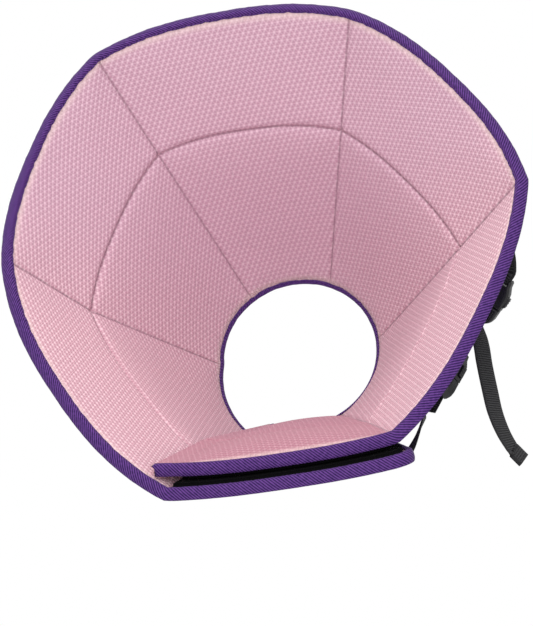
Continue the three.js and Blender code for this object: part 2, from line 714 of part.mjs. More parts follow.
// The upper strap's long end hangs free and ends in a folded tab.
function hangingTail(frame) {
  const leave = PLUG_LENGTH + STRAP_LEAD / 2;
  const [over, past, leaving] = [PLUG_BAR_X, leave - STRAP_LEAD / 3, leave].map((x) => ({
    point: inBuckle(frame, x, BEND),
    across: frame.y,
  }));
  const hanging = TAIL.map(({ side, back, down, turned, risen }) => {
    const angle = THREE.MathUtils.degToRad(turned);
    const rise = THREE.MathUtils.degToRad(risen);
    const level = new THREE.Vector3(-Math.cos(angle), -Math.sin(angle), 0);
    const across = level.multiplyScalar(Math.cos(rise)).setZ(-Math.sin(rise));
    const offset = new THREE.Vector3(side, back, -down);
    return { point: frame.middle.clone().add(offset), across };
  });
  const places = [over, past, ...smoothly([leaving, ...hanging.slice(0, -1)], 24)];
  const fold = places.at(-1);
  const run = hanging.at(-1).point.sub(fold.point).normalize();
  const thick = { width: WEBBING_WIDTH + TAB_OVERSIZE, thickness: 2 * WEBBING_THICKNESS + CLEARANCE };
  const tab = [CLEARANCE, TAB_LENGTH].map((distance) => ({
    point: fold.point.clone().addScaledVector(run, distance),
    across: fold.across,
    ...thick,
  }));
  return [...places, ...tab];
}

// The assembly

const FINISHES = {
  air_mesh: new THREE.MeshStandardMaterial({ color: 0xdcaabb, roughness: 0.9, metalness: 0 }),
  cover_cloth: new THREE.MeshStandardMaterial({ color: 0x53308a, roughness: 0.8, metalness: 0 }),
  binding_tape: new THREE.MeshStandardMaterial({ color: 0x552d82, roughness: 0.6, metalness: 0 }),
  fastener_tape: new THREE.MeshStandardMaterial({ color: 0x141414, roughness: 0.95, metalness: 0 }),
  black_webbing: new THREE.MeshStandardMaterial({ color: 0x1b1b1d, roughness: 0.75, metalness: 0 }),
  buckle_plastic: new THREE.MeshStandardMaterial({ color: 0x17171a, roughness: 0.4, metalness: 0 }),
};

function named(name, geometry, finish) {
  const mesh = new THREE.Mesh(geometry, FINISHES[finish]);
  mesh.name = name;
  return mesh;
}

function closure(row) {
  const group = new THREE.Group();
  const tail = row.name === "upper" ? hangingTail : shortEnd;
  group.add(named(`${row.name}_anchor_strap`, anchorStrap(row), "black_webbing"));
  group.add(named(`${row.name}_pull_strap`, pullStrap(row, tail), "black_webbing"));
  const buckle = new THREE.Group();
  const { middle, x, y, z } = buckleFrame(row);
  buckle.position.copy(middle);
  buckle.quaternion.setFromRotationMatrix(new THREE.Matrix4().makeBasis(x, y, z));
  buckle.add(named(`${row.name}_buckle_socket`, buckleSocket(), "buckle_plastic"));
  buckle.add(named(`${row.name}_buckle_plug`, bucklePlug(), "buckle_plastic"));
  group.add(buckle);
  return group;
}

const cone = new THREE.Group();
cone.add(named("padded_lining", paddedLining(), "air_mesh"));
cone.add(named("outer_cover", outerCover(), "cover_cloth"));
cone.add(named("rim_binding", rimBinding(), "binding_tape"));
cone.add(named("neck_binding", neckBinding(), "binding_tape"));
cone.add(named("hook_tape", hookTape(), "fastener_tape"));
cone.add(named("loop_tape", loopTape(), "fastener_tape"));
for (const row of CLOSURES) cone.add(closure(row));

export default cone;
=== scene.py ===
# %% [markdown]
# # A soft recovery cone
#
# The object is a padded cloth cone that is worn round the neck. One long strip of wall is
# wrapped into a cone: the flap at its start goes inside, the other end goes outside, and
# fastener tape holds the two together. The edges are bound with purple twill tape, and two
# webbing straps with side-release buckles cross the overlap outside.
#
# The solid model already has every piece in its place. This lesson dresses it: quilted cloth in
# place of plain slabs, tape with a weave, ribbed webbing, stitches, moulded buckles, and then
# the light and the camera of a product photograph.

# %% Load the solid model
import math
from itertools import combinations

import bpy
import numpy as np
from mathutils import Matrix, Vector


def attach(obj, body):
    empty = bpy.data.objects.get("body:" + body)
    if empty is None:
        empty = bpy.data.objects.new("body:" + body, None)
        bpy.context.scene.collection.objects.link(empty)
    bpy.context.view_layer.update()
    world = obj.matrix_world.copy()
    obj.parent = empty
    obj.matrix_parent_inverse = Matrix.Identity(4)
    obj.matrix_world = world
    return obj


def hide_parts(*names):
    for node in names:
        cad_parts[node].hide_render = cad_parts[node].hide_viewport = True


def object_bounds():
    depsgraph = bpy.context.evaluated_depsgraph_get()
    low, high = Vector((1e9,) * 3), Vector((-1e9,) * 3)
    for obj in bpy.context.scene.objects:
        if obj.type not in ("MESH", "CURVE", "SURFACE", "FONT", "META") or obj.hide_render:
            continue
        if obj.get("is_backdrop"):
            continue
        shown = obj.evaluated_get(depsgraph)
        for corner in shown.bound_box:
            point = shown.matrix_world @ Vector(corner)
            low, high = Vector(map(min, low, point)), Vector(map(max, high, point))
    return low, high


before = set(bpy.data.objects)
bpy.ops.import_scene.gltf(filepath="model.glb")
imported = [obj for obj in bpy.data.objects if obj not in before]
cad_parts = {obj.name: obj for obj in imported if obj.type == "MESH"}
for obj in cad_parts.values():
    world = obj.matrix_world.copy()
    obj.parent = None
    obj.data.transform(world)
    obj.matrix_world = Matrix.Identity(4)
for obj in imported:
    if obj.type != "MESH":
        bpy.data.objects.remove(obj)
solid_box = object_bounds()
print("solid pieces:", ", ".join(sorted(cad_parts)))

# %% [markdown]
# ## The camera
#
# The camera comes first, because everything is judged through it. It stands a metre and a half
# from the mouth, below the axis and a little to the buckle side, and leans by about seven
# degrees. Its place was solved from the corners of the rim and of the ring seam. A free camera
# with a rotation matrix is used, because a tracking constraint can't hold the lean.

# %% Place the camera
CAMERA_PLACE = Vector((0.1745, -1.5310, -0.6781))
CAMERA_RIGHT = Vector((0.978, 0.177, -0.111))
CAMERA_UP = Vector((0.174, -0.399, 0.900))
PICTURE = (533, 626)
FOCAL_PIXELS = 2245

camera_data = bpy.data.cameras.new("camera")
camera_data.sensor_fit = "HORIZONTAL"
camera_data.sensor_width = 36
camera_data.lens = FOCAL_PIXELS * camera_data.sensor_width / PICTURE[0]
camera = bpy.data.objects.new("camera", camera_data)
bpy.context.scene.collection.objects.link(camera)
bpy.context.scene.camera = camera

right = CAMERA_RIGHT.normalized()
up = (CAMERA_UP - right * CAMERA_UP.dot(right)).normalized()
turned = Matrix((right, up, right.cross(up))).transposed().to_4x4()
camera.matrix_world = Matrix.Translation(CAMERA_PLACE) @ turned
print("lens:", round(camera_data.lens, 1), "mm")

# %% [markdown]
# ## The wall as a surface
#
# Nearly every piece lies on the wall, so the wall is written once, as a function. A place on it
# is `along`, the panel number with a fraction, and `back`, the distance behind the mouth. The
# folds are straight lines through their places at the rim, the ring seam and the neck, and each
# panel bows out between two folds. The numbers are those of the solid model, in metres, so both
# agree. Arrays of places go through at once, which is much faster than a loop in Python.

# %% The wall's sizes
MM = 0.001
MOUTH_RADIUS = 179.4 * MM
NECK_RADIUS = 59 * MM
CONE_DEPTH = 184.2 * MM
RING_BACK = 71.7 * MM
MOUTH_RISE = 11.3 * MM
BOW_SHARPNESS = 2.5
PADDING = 4.7 * MM
COVER = 1.2 * MM
CLEARANCE = 0.3 * MM
FASTENER = 3.1 * MM
FACE_CROWN = 4 * MM
FLAP_CROWN = 12 * MM
BACK_CROWN = 2 * MM
FLAP_OVERRUN = 16 * MM
FREE_END_OVERRUN = 5 * MM
FREE_CORNER_RADIUS = 16 * MM
FLAP_MITRE = 1.2
BINDING_WIDTH = 3.2 * MM
BINDING_THICKNESS = 1 * MM
BINDING_NOSE = 1.6 * MM
FASTENER_INSET = 3 * MM
LAST_FOLD = 7

WALL = PADDING + CLEARANCE + COVER
STACK = WALL + 2 * FASTENER + 3 * CLEARANCE
COS_SLANT = CONE_DEPTH / math.hypot(CONE_DEPTH, MOUTH_RADIUS - NECK_RADIUS)
BINDING_REACH = BINDING_WIDTH + 2 * CLEARANCE
BOUND = BINDING_REACH * COS_SLANT
TOUCH = 0.001 * MM

# Each corner: degrees at the rim, degrees at the ring seam and neck, the rim's and the ring
# seam's reach and the bows of the panel after it, in shares of the mouth's radius.
CORNERS = np.array([
    [-114.2, -114.2, 1.048, 0.767, 0.022, 0.020],
    [-64.9, -65.3, 0.978, 0.705, 0.085, 0.034],
    [1.8, 1.2, 1.017, 0.744, 0.090, 0.040],
    [61.4, 60.6, 1.003, 0.715, 0.095, 0.062],
    [120.8, 120.8, 1.051, 0.777, 0.082, 0.045],
    [175.0, 177.8, 0.955, 0.732, 0.112, 0.050],
])
# Each fold: its corner, the turns made by then, and its layer at the rim and at the neck.
FOLDS = np.array([
    [0, 0, -1, 0], [1, 0, 0, 0], [2, 0, 0, 0], [3, 0, 0, 0],
    [4, 0, 0, 0], [5, 0, 0, 0], [0, 1, 0, 1], [1, 1, 1, 1],
])
half_overlap = math.radians(CORNERS[1, 0] - CORNERS[0, 0]) / 2
LAYER_STEP = STACK / (COS_SLANT * math.cos(half_overlap))
print("overlap layer:", round(LAYER_STEP * 1000, 1), "mm")

# %% The wall's places
def polar(turn, radius):
    """Points in the plane of the mouth: degrees from the right, and a radius."""
    angle = np.radians(turn)
    return np.stack([radius * np.cos(angle), radius * np.sin(angle)], axis=-1)


fold_corner = CORNERS[FOLDS[:, 0]]
FOLD_RIM = polar(fold_corner[:, 0], MOUTH_RADIUS * fold_corner[:, 2] + LAYER_STEP * FOLDS[:, 2])
FOLD_RING = polar(fold_corner[:, 1], MOUTH_RADIUS * fold_corner[:, 3] + LAYER_STEP * FOLDS[:, 2])
NECK_TURN = fold_corner[:, 1] + 360 * FOLDS[:, 1]
NECK_REACH = NECK_RADIUS + LAYER_STEP * FOLDS[:, 3]
RIM_BOW = MOUTH_RADIUS * fold_corner[:, 4]
RING_BOW = MOUTH_RADIUS * fold_corner[:, 5]


def unit(vectors):
    """The same directions with length 1."""
    return vectors / np.linalg.norm(vectors, axis=-1, keepdims=True)


def panel_of(along):
    """The panel's number, and the share of it that lies before each place."""
    panel = np.clip(np.floor(along).astype(int), 0, LAST_FOLD - 1)
    return panel, along - panel


def bowed_edge(places, bows, along):
    """A chord from fold to fold that bows outwards, and runs straight on past the ends."""
    panel, share = panel_of(along)
    run = places[panel + 1] - places[panel]
    outward = unit(np.stack([run[..., 1], -run[..., 0]], axis=-1))
    inside = 1 - np.abs(2 * share - 1) ** BOW_SHARPNESS
    beyond = 2 * BOW_SHARPNESS * np.where(share < 0, share, 1 - share)
    bow = bows[panel] * np.where((share < 0) | (share > 1), beyond, inside)
    return places[panel] + run * share[..., None] + outward * bow[..., None]


def wall_point(along, back):
    """The wall's surface: the face of the padding before it swells."""
    along, back = np.broadcast_arrays(np.asarray(along, float), np.asarray(back, float))
    panel, share = panel_of(along)
    turn = NECK_TURN[panel] * (1 - share) + NECK_TURN[panel + 1] * share
    reach = NECK_REACH[panel] * (1 - share) + NECK_REACH[panel + 1] * share
    rim = bowed_edge(FOLD_RIM, RIM_BOW, along)
    ring = bowed_edge(FOLD_RING, RING_BOW, along)
    front = (back / RING_BACK)[..., None]
    rear = ((back - RING_BACK) / (CONE_DEPTH - RING_BACK))[..., None]
    flat = np.where(front < 1, rim + (ring - rim) * front, ring + (polar(turn, reach) - ring) * rear)
    rise = MOUTH_RISE * (1 - back / CONE_DEPTH)
    return np.stack([flat[..., 0], back - CONE_DEPTH, flat[..., 1] + rise], axis=-1)


def wall_frame(along, back):
    """Directions at places on the wall: out of the cone, and along the strip."""
    along, back = np.broadcast_arrays(np.asarray(along, float), np.asarray(back, float))
    strip = unit(wall_point(along + 0.03, back) - wall_point(along - 0.03, back))
    after = np.minimum(back + 4 * MM, CONE_DEPTH)
    before = np.maximum(back - 4 * MM, 0)
    slope = unit(wall_point(along, after) - wall_point(along, before))
    return unit(np.cross(slope, strip)), strip


def on_wall(along, back, height):
    """Points at a height over the wall's surface, out of the cone."""
    out, _ = wall_frame(along, back)
    return wall_point(along, back) + out * np.asarray(height)[..., None]


def panel_length(along, back):
    """How far apart the folds of the panel are, at a distance back."""
    panel, _ = panel_of(np.asarray(along, float))
    return np.linalg.norm(wall_point(panel + 1.0, back) - wall_point(panel + 0.0, back), axis=-1)


STRIP_START = -FLAP_OVERRUN / float(panel_length(0, 0))
STRIP_END = LAST_FOLD + FREE_END_OVERRUN / float(panel_length(LAST_FOLD - 0.5, 0))
print("the strip runs from", round(STRIP_START, 3), "to", round(STRIP_END, 3))

# %% The free corner and the padding's swell
CORNER_SPAN = FREE_CORNER_RADIUS / float(panel_length(LAST_FOLD - 0.5, 0))


def edge_back(along):
    """How far behind the mouth the strip's edge is: it rounds off at the free corner."""
    share = np.clip((along - (STRIP_END - CORNER_SPAN)) / CORNER_SPAN, 0, 1)
    return FREE_CORNER_RADIUS * COS_SLANT * (1 - np.sqrt(1 - share ** 2))


def at_fold(along):
    """Which places lie on a fold."""
    return np.isclose(along, np.round(along))


def off_bindings(along, back):
    """Which places lie clear of the bindings."""
    return (back > BOUND + edge_back(along) + TOUCH) & (back < CONE_DEPTH - BOUND - TOUCH)


def puff(along, back):
    """How far the padding swells between the seams that hold it, from 0 to 1."""
    front = (back - BOUND) / (RING_BACK - BOUND)
    rear = (back - RING_BACK) / (CONE_DEPTH - BOUND - RING_BACK)
    zone = np.clip(np.where(back < RING_BACK, front, rear), 0, 1)
    _, share = panel_of(np.maximum(along, 0))
    return np.sqrt(np.sin(np.pi * zone) * np.sin(np.pi * np.clip(share, 0, 1)))


def face_height(along, back):
    """The face of the padding swells into the cone, but not where the tapes hold it flat."""
    crown = np.where(along < 1, FLAP_CROWN, FACE_CROWN) * (along < LAST_FOLD - 1)
    return -puff(along, back) * crown


def cover_height(along, back):
    """The outside of the cover, which is flat over the tapes."""
    flat = (along <= 1) | (along >= LAST_FOLD - 1)
    return WALL + np.where(flat, 0, BACK_CROWN) * puff(along, back)


print("free corner:", round(float(edge_back(np.array(STRIP_END))) * 1000, 1), "mm deep")

# %% [markdown]
# ## Mesh helpers
#
# Three helpers make every cloth piece. `mesh_piece` turns points and faces into an object
# and gives it UV maps in metres, so that a weave has its real size anywhere on it. `sheet_grid`
# makes a slab of the wall, and `sweep` runs a profile along a path. Each face's corners get
# their own UVs, because the weave turns from one panel to the next.

# %% Mesh helpers
def mesh_piece(name, points, faces, uv_maps):
    """An object at the origin from points and faces, with a UV map per name in uv_maps."""
    mesh = bpy.data.meshes.new(name)
    mesh.from_pydata([tuple(p) for p in points], [], [tuple(f) for f in faces])
    corners = np.empty(len(mesh.loops), int)
    mesh.loops.foreach_get("vertex_index", corners)
    for map_name, values in uv_maps.items():
        layer = mesh.uv_layers.new(name=map_name)
        per_corner = values if len(values) == len(corners) else values[corners]
        layer.uv.foreach_set("vector", np.asarray(per_corner, np.float32).ravel())
    mesh.polygons.foreach_set("use_smooth", np.ones(len(mesh.polygons), bool))
    mesh.update()
    piece = bpy.data.objects.new(name, mesh)
    bpy.context.scene.collection.objects.link(piece)
    return piece


def select_only(piece):
    """Make one object selected and active, as a click on it does."""
    bpy.ops.object.select_all(action="DESELECT")
    piece.select_set(True)
    bpy.context.view_layer.objects.active = piece


def apply_all(piece):
    """Apply the piece's modifiers in their order."""
    select_only(piece)
    for modifier in list(piece.modifiers):
        bpy.ops.object.modifier_apply(modifier=modifier.name)


def subdivide(piece):
    """Round the mesh off with one level of subdivision."""
    rounding = piece.modifiers.new("rounding", "SUBSURF")
    rounding.levels = 1
    rounding.render_levels = 1
    apply_all(piece)


def outwards(piece):
    """Turn all faces outwards."""
    select_only(piece)
    bpy.ops.object.mode_set(mode="EDIT")
    bpy.ops.mesh.select_all(action="SELECT")
    bpy.ops.mesh.normals_make_consistent(inside=False)
    bpy.ops.object.mode_set(mode="OBJECT")


def triangles(piece):
    """How many triangles the piece's mesh has."""
    return sum(len(face.vertices) - 2 for face in piece.data.polygons)


def dress(piece, node):
    """Hide the solid that the piece stands for, and fix the piece to the body."""
    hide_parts(node)
    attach(piece, "root")
    print(piece.name, triangles(piece), "triangles")


def path_lengths(path):
    """How far along a path each of its points is."""
    return np.concatenate([[0], np.cumsum(np.linalg.norm(np.diff(path, axis=0), axis=1))])


def angle_between(one, other):
    """The angle between directions, in radians."""
    return np.arccos(np.clip(np.sum(unit(one) * unit(other), axis=-1), -1, 1))


def flat_cut():
    """How each panel lies in the flat cut of the strip: its first corner and its turn."""
    corners = wall_point(np.arange(LAST_FOLD + 1.0), 0.0)
    folds = wall_point(np.arange(LAST_FOLD + 1.0), RING_BACK) - corners
    chords = corners[1:] - corners[:-1]
    before = angle_between(folds[1:-1], -chords[:-1])
    after = angle_between(folds[1:-1], chords[1:])
    turns = np.concatenate([[0], np.cumsum(np.pi - before - after)])
    turns -= turns[GRAIN_PANEL]
    steps = np.linalg.norm(chords, axis=1)[:, None] * np.stack([np.cos(turns), np.sin(turns)], axis=-1)
    return np.concatenate([[[0, 0]], np.cumsum(steps, axis=0)[:-1]]), turns


GRAIN_PANEL = 5
CUT_CORNERS, CUT_TURNS = flat_cut()


def weave_map(along, back):
    """Where each place lies in the flat cut, in metres: the cloth's grain runs straight there."""
    panel, _ = panel_of(along)
    first = wall_point(panel + 0.0, 0.0)
    chord = unit(wall_point(panel + 1.0, 0.0) - first)
    depth = wall_point(panel + 0.5, RING_BACK) - wall_point(panel + 0.5, 0.0)
    square = unit(depth - chord * np.sum(depth * chord, axis=-1, keepdims=True))
    offset = wall_point(along, back) - first
    u, v = np.sum(offset * chord, axis=-1), np.sum(offset * square, axis=-1)
    turn = CUT_TURNS[panel]
    flat = np.stack([u * np.cos(turn) - v * np.sin(turn), u * np.sin(turn) + v * np.cos(turn)], axis=-1)
    return CUT_CORNERS[panel] + flat


def sheet_grid(name, cuts, rows, low, high, mitre=0.0):
    """A slab of the wall: cuts along it, rows back at each cut, and a low and a high face."""
    count, depth = rows.shape
    along = np.repeat(cuts[:, None], depth, axis=1)
    low, high = low(along, rows), high(along, rows)
    sides = []
    for height in (low, high):
        shifted = along.copy()
        shifted[0] += mitre * height[0] / panel_length(cuts[:1], rows[0])
        sides.append(on_wall(shifted, rows, height))
    points = np.concatenate([side.reshape(-1, 3) for side in sides])
    at = np.arange(count * depth).reshape(count, depth)
    over = at + count * depth
    faces = grid_faces(at) + [face[::-1] for face in grid_faces(over)]
    border = np.concatenate([at[:-1, 0], at[-1, :-1], at[:0:-1, -1], at[0, :0:-1]])
    for here, there in zip(border, np.roll(border, -1)):
        faces.append((here, here + count * depth, there + count * depth, there))
    flat_along = np.concatenate([along.ravel(), along.ravel()])
    flat_back = np.concatenate([rows.ravel(), rows.ravel()])
    loops = np.concatenate([np.array(face) for face in faces])
    owner = np.repeat([np.mean(flat_along[list(face)]) for face in faces], [len(f) for f in faces])
    inside = np.clip(flat_along[loops], np.floor(owner) + 1e-6, np.floor(owner) + 1 - 1e-6)
    weave = weave_map(np.where(owner < 0, flat_along[loops], inside), flat_back[loops])
    edge = np.minimum(flat_back[loops] - edge_back(flat_along[loops]), CONE_DEPTH - flat_back[loops])
    seam = np.stack([flat_along[loops] * float(panel_length(2, 0)), edge / COS_SLANT], axis=-1)
    quilt = np.stack([flat_along[loops], flat_back[loops]], axis=-1)
    return mesh_piece(name, points, faces, {"weave": weave, "seam": seam, "quilt": quilt})


def grid_faces(index):
    """Quads between the neighbours of a grid of point numbers."""
    a, b, c, d = index[:-1, :-1], index[:-1, 1:], index[1:, 1:], index[1:, :-1]
    return [tuple(quad) for quad in np.stack([a, b, c, d], axis=-1).reshape(-1, 4)]


def sweep(name, rings, lengths, around):
    """Closed rings of points joined into one body with flat ends, and its UV map in metres."""
    count, size = rings.shape[:2]
    at = np.arange(count * size).reshape(count, size)
    faces, coordinates = [], []
    for step in range(count - 1):
        for side in range(size):
            other = (side + 1) % size
            faces.append((at[step, side], at[step, other], at[step + 1, other], at[step + 1, side]))
            far = around[side + 1]
            coordinates += [(lengths[step], around[side]), (lengths[step], far),
                            (lengths[step + 1], far), (lengths[step + 1], around[side])]
    for cap in (at[0][::-1], at[-1]):
        faces.append(tuple(cap))
        coordinates += [(0.0, 0.0)] * size
    piece = mesh_piece(name, rings.reshape(-1, 3), faces, {"weave": np.array(coordinates)})
    outwards(piece)
    return piece


print("the strip's cut turns by", round(math.degrees(CUT_TURNS[-1] - CUT_TURNS[0])), "degrees")

# %% [markdown]
# ## The lining
#
# The lining is air mesh quilted over padding: it swells between the folds, the ring seam and
# the bindings. A swell that is drawn by a formula looks too even, so the last millimetres are
# left to Blender's cloth simulation: the seams and the back are pinned, a little pressure blows
# the face up, and how far each point may move is capped. The grid is kept as it is, because its
# UV maps carry the knit, and it is closer near the seams, where the cloth turns quickly.

# %% Cuts and rows of the quilted wall
PANEL_STEPS = 20
ZONE_STEPS = 13
CORNER_STEPS = 14
SEAM_SINK = 2.3 * MM
FOLD_SINK = 1.7 * MM
LINING_START = 0.85
CROWDING = 0.12

steps = np.arange(PANEL_STEPS) / PANEL_STEPS
panel_steps = steps - CROWDING * np.sin(2 * np.pi * steps)
panel_cuts = (np.arange(LAST_FOLD)[:, None] + panel_steps).ravel()
panel_cuts = panel_cuts[panel_cuts < STRIP_END - CORNER_SPAN - 0.01]
start_cuts = np.linspace(STRIP_START, 0, 4)[:-1]
turn = np.linspace(0, np.pi / 2, CORNER_STEPS)
corner_cuts = STRIP_END - CORNER_SPAN * (1 - np.sin(turn))
CUTS = np.concatenate([start_cuts, panel_cuts, corner_cuts])
zone = 0.5 - 0.5 * np.cos(np.linspace(0, np.pi, ZONE_STEPS))


def rows_at(cuts):
    """Distances back at each cut: the edge, the binding's hem, two zones, hem and edge."""
    edge = edge_back(cuts)[:, None]
    front = edge + BOUND + (RING_BACK - edge - BOUND) * zone
    rear = RING_BACK + (CONE_DEPTH - BOUND - RING_BACK) * zone[1:]
    rear = np.repeat(rear[None], len(cuts), axis=0)
    return np.concatenate([edge, front, rear, np.full_like(edge, CONE_DEPTH)], axis=1)


ROWS = rows_at(CUTS)
print("quilt grid:", ROWS.shape)


# %% The lining before it is blown up
def lining_face(along, back):
    """The face to start from: a lower swell, with the ring seam and the folds sunk in."""
    on_ring = np.isclose(back, RING_BACK)
    on_fold = at_fold(along) & (along > 0.5) & (along < LAST_FOLD - 0.5)
    sink = np.where(on_ring, SEAM_SINK, 0) + np.where(on_fold, FOLD_SINK, 0)
    sunk = off_bindings(along, back) * (along < LAST_FOLD - 0.5)
    return face_height(along, back) * LINING_START + sink * sunk


def lining_back(along, back):
    """The padding's back, under the cover."""
    return cover_height(along, back) - COVER - CLEARANCE


lining = sheet_grid("quilted_lining", CUTS, ROWS, lining_face, lining_back, FLAP_MITRE)
print("lining:", triangles(lining), "triangles")


# %% Blow up the lining
def blow_up(piece, loose, pressure, cap):
    """Let the loose points swell under pressure, and cap how far each may move."""
    start = np.array([vertex.co for vertex in piece.data.vertices])
    held = piece.vertex_groups.new(name="held")
    held.add([int(i) for i in np.flatnonzero(~loose)], 1.0, "REPLACE")
    cloth = piece.modifiers.new("Cloth", "CLOTH")
    cloth.settings.vertex_group_mass = "held"
    cloth.settings.use_pressure = True
    cloth.settings.uniform_pressure_force = pressure
    cloth.settings.effector_weights.gravity = 0
    cloth.settings.quality = 5
    for number in range(1, 21):
        bpy.context.scene.frame_set(number)
    shown = piece.evaluated_get(bpy.context.evaluated_depsgraph_get()).to_mesh()
    moved = np.array([vertex.co for vertex in shown.vertices]) - start
    distance = np.linalg.norm(moved, axis=1, keepdims=True)
    moved *= np.minimum(1, cap / np.maximum(distance, 1e-9))
    piece.modifiers.remove(cloth)
    bpy.context.scene.frame_set(1)
    piece.vertex_groups.clear()
    piece.data.vertices.foreach_set("co", (start + moved).astype(np.float32).ravel())
    piece.data.update()
    print(piece.name, "swelled by up to", round(float(distance.max()) * 1000, 1), "mm before the cap")


def face_points(cuts, rows):
    """Which points of a slab are free to swell: its face, off every seam."""
    along = np.repeat(cuts[:, None], rows.shape[1], axis=1)
    free = off_bindings(along, rows) & ~np.isclose(rows, RING_BACK) & ~at_fold(along)
    free &= (along > 0) & (along < LAST_FOLD - 1)
    return np.concatenate([free.ravel(), np.zeros(free.size, bool)])


def crease_seams(piece, cuts, rows):
    """Keep the ring seam and the folds of the face sharp when the mesh is rounded."""
    along = np.repeat(cuts[:, None], rows.shape[1], axis=1)
    ring = np.isclose(rows, RING_BACK).ravel()
    fold = at_fold(along).ravel()
    ends = np.empty(2 * len(piece.data.edges), int)
    piece.data.edges.foreach_get("vertices", ends)
    one, two = ends.reshape(-1, 2).T
    face = (one < len(ring)) & (two < len(ring))
    one, two = np.where(face, one, 0), np.where(face, two, 0)
    sharp = face & ((ring[one] & ring[two]) | (fold[one] & fold[two]))
    crease = piece.data.attributes.new("crease_edge", "FLOAT", "EDGE")
    crease.data.foreach_set("value", np.where(sharp, 0.85, 0.0).astype(np.float32))


blow_up(lining, face_points(CUTS, ROWS), pressure=4, cap=1.4 * MM)
crease_seams(lining, CUTS, ROWS)
subdivide(lining)
dress(lining, "padded_lining")

# %% [markdown]
# ## The cover
#
# The cover is one layer of woven cloth, cut flat as part of a ring and sewn round the padding.
# It lies on the same grid as the lining, so that no gap opens between them.

# %% The cover
COVER_SINK = 0.35 * MM


def cover_back(along, back):
    """The cover's outside, with the quilting's seams sunk in a little."""
    on_seam = np.isclose(back, RING_BACK) | at_fold(along)
    sunk = on_seam & off_bindings(along, back) & (along > 0)
    return cover_height(along, back) - np.where(sunk, COVER_SINK, 0)


def cover_face(along, back):
    """The cover's inside, against the padding."""
    return cover_back(along, back) - COVER


cover = sheet_grid("quilted_cover", CUTS, ROWS, cover_face, cover_back, FLAP_MITRE)
subdivide(cover)
dress(cover, "outer_cover")

# %% [markdown]
# ## The bindings
#
# A binding is a twill tape folded over the raw edge and sewn through near its hem. Its profile
# is swept along the edge. The profile here has what the plain solid leaves out: a thicker hem,
# the groove that the stitches pull in, and a round nose. The nose and the hem waver a little,
# as tape does when it is eased round a curve.

# %% The binding's profile
GROOVE_INSET = 1.15 * MM
GROOVE_SPOTS = (3, 19)


def binding_profile():
    """Points round the tape's section: reach into the wall, and height over it."""
    low, high = -CLEARANCE, WALL + CLEARANCE
    thick, width = BINDING_THICKNESS, BINDING_WIDTH
    leg = [(width, 0.55), (width - 0.25 * MM, 0.95), (width - 0.7 * MM, 1.0),
           (width - GROOVE_INSET, 0.72), (width - 1.6 * MM, 0.95), (0.6 * MM, 1.0)]
    half = WALL / 2 + CLEARANCE + thick
    outer = [(reach, high + thick * share) for reach, share in leg]
    for degrees in np.linspace(72, -72, 11):
        angle = math.radians(degrees)
        outer.append((-BINDING_NOSE * math.cos(angle) ** 0.8, WALL / 2 + half * math.sin(angle)))
    outer += [(reach, low - thick * share) for reach, share in reversed(leg)]
    inner = [(width, low), (-CLEARANCE, low), (-CLEARANCE, high), (width, high)]
    return np.array(outer + inner)


PROFILE = binding_profile()
AROUND = path_lengths(np.append(PROFILE, PROFILE[:1], axis=0))
print("binding profile:", len(PROFILE), "points,", round(AROUND[-1] * 1000, 1), "mm round")


# %% Both bindings
TUCK = 4 * MM
NOSE_WAVER = 0.28 * MM
HEM_WAVER = 1.1 * MM
BINDING_STEP = 2.6 * MM


def waver(lengths, seed, amount):
    """A smooth, uneven wave along a path, from a few sines of different lengths."""
    random = np.random.default_rng(seed)
    wave = np.zeros_like(lengths)
    for period in (0.007, 0.011, 0.019, 0.031):
        wave += np.sin(2 * np.pi * (lengths / period + random.random()) + 2 * np.sin(lengths / period / 2.3))
    return amount * wave / 4


def binding(name, along, back, inward_sign, mitre_first):
    """A tape over the wall's edge along a path of places, with its nose and hem wavering."""
    edge = wall_point(along, back)
    out, strip = wall_frame(along, back)
    run = np.gradient(edge, axis=0)
    inward = unit(np.cross(run, out)) * inward_sign
    lengths = path_lengths(edge)
    wave = waver(lengths, len(along), NOSE_WAVER)
    hem = np.abs(waver(lengths, len(along) + 1, HEM_WAVER))
    from_end = np.minimum(lengths, lengths[-1] - lengths) / TUCK
    tuck = 0.62 + 0.38 * np.sqrt(1 - (1 - np.clip(from_end, 0, 1)) ** 2)
    middle = (BINDING_WIDTH / 2 - BINDING_NOSE / 2, WALL / 2)
    rings = np.empty((len(along), len(PROFILE), 3))
    for spot, (reach, height) in enumerate(PROFILE):
        nose = wave if reach < 0.7 * MM and spot < len(PROFILE) - 4 else 0 * wave
        eased = hem if reach > BINDING_WIDTH - 0.8 * MM else 0 * hem
        reaches = middle[0] + (reach - nose - eased - middle[0]) * tuck
        heights = middle[1] + (height - middle[1]) * tuck
        rings[:, spot] = edge + inward * reaches[:, None] + out * heights[:, None]
        rings[0, spot] += strip[0] * mitre_first * heights[0]
    return sweep(name, rings, lengths, AROUND)


def even_path(along, back, spacing):
    """The same path with places at an even spacing."""
    edge = wall_point(along, back)
    lengths = path_lengths(edge)
    even = np.linspace(0, lengths[-1], int(lengths[-1] / spacing) + 1)
    return np.interp(even, lengths, along), np.interp(even, lengths, back)


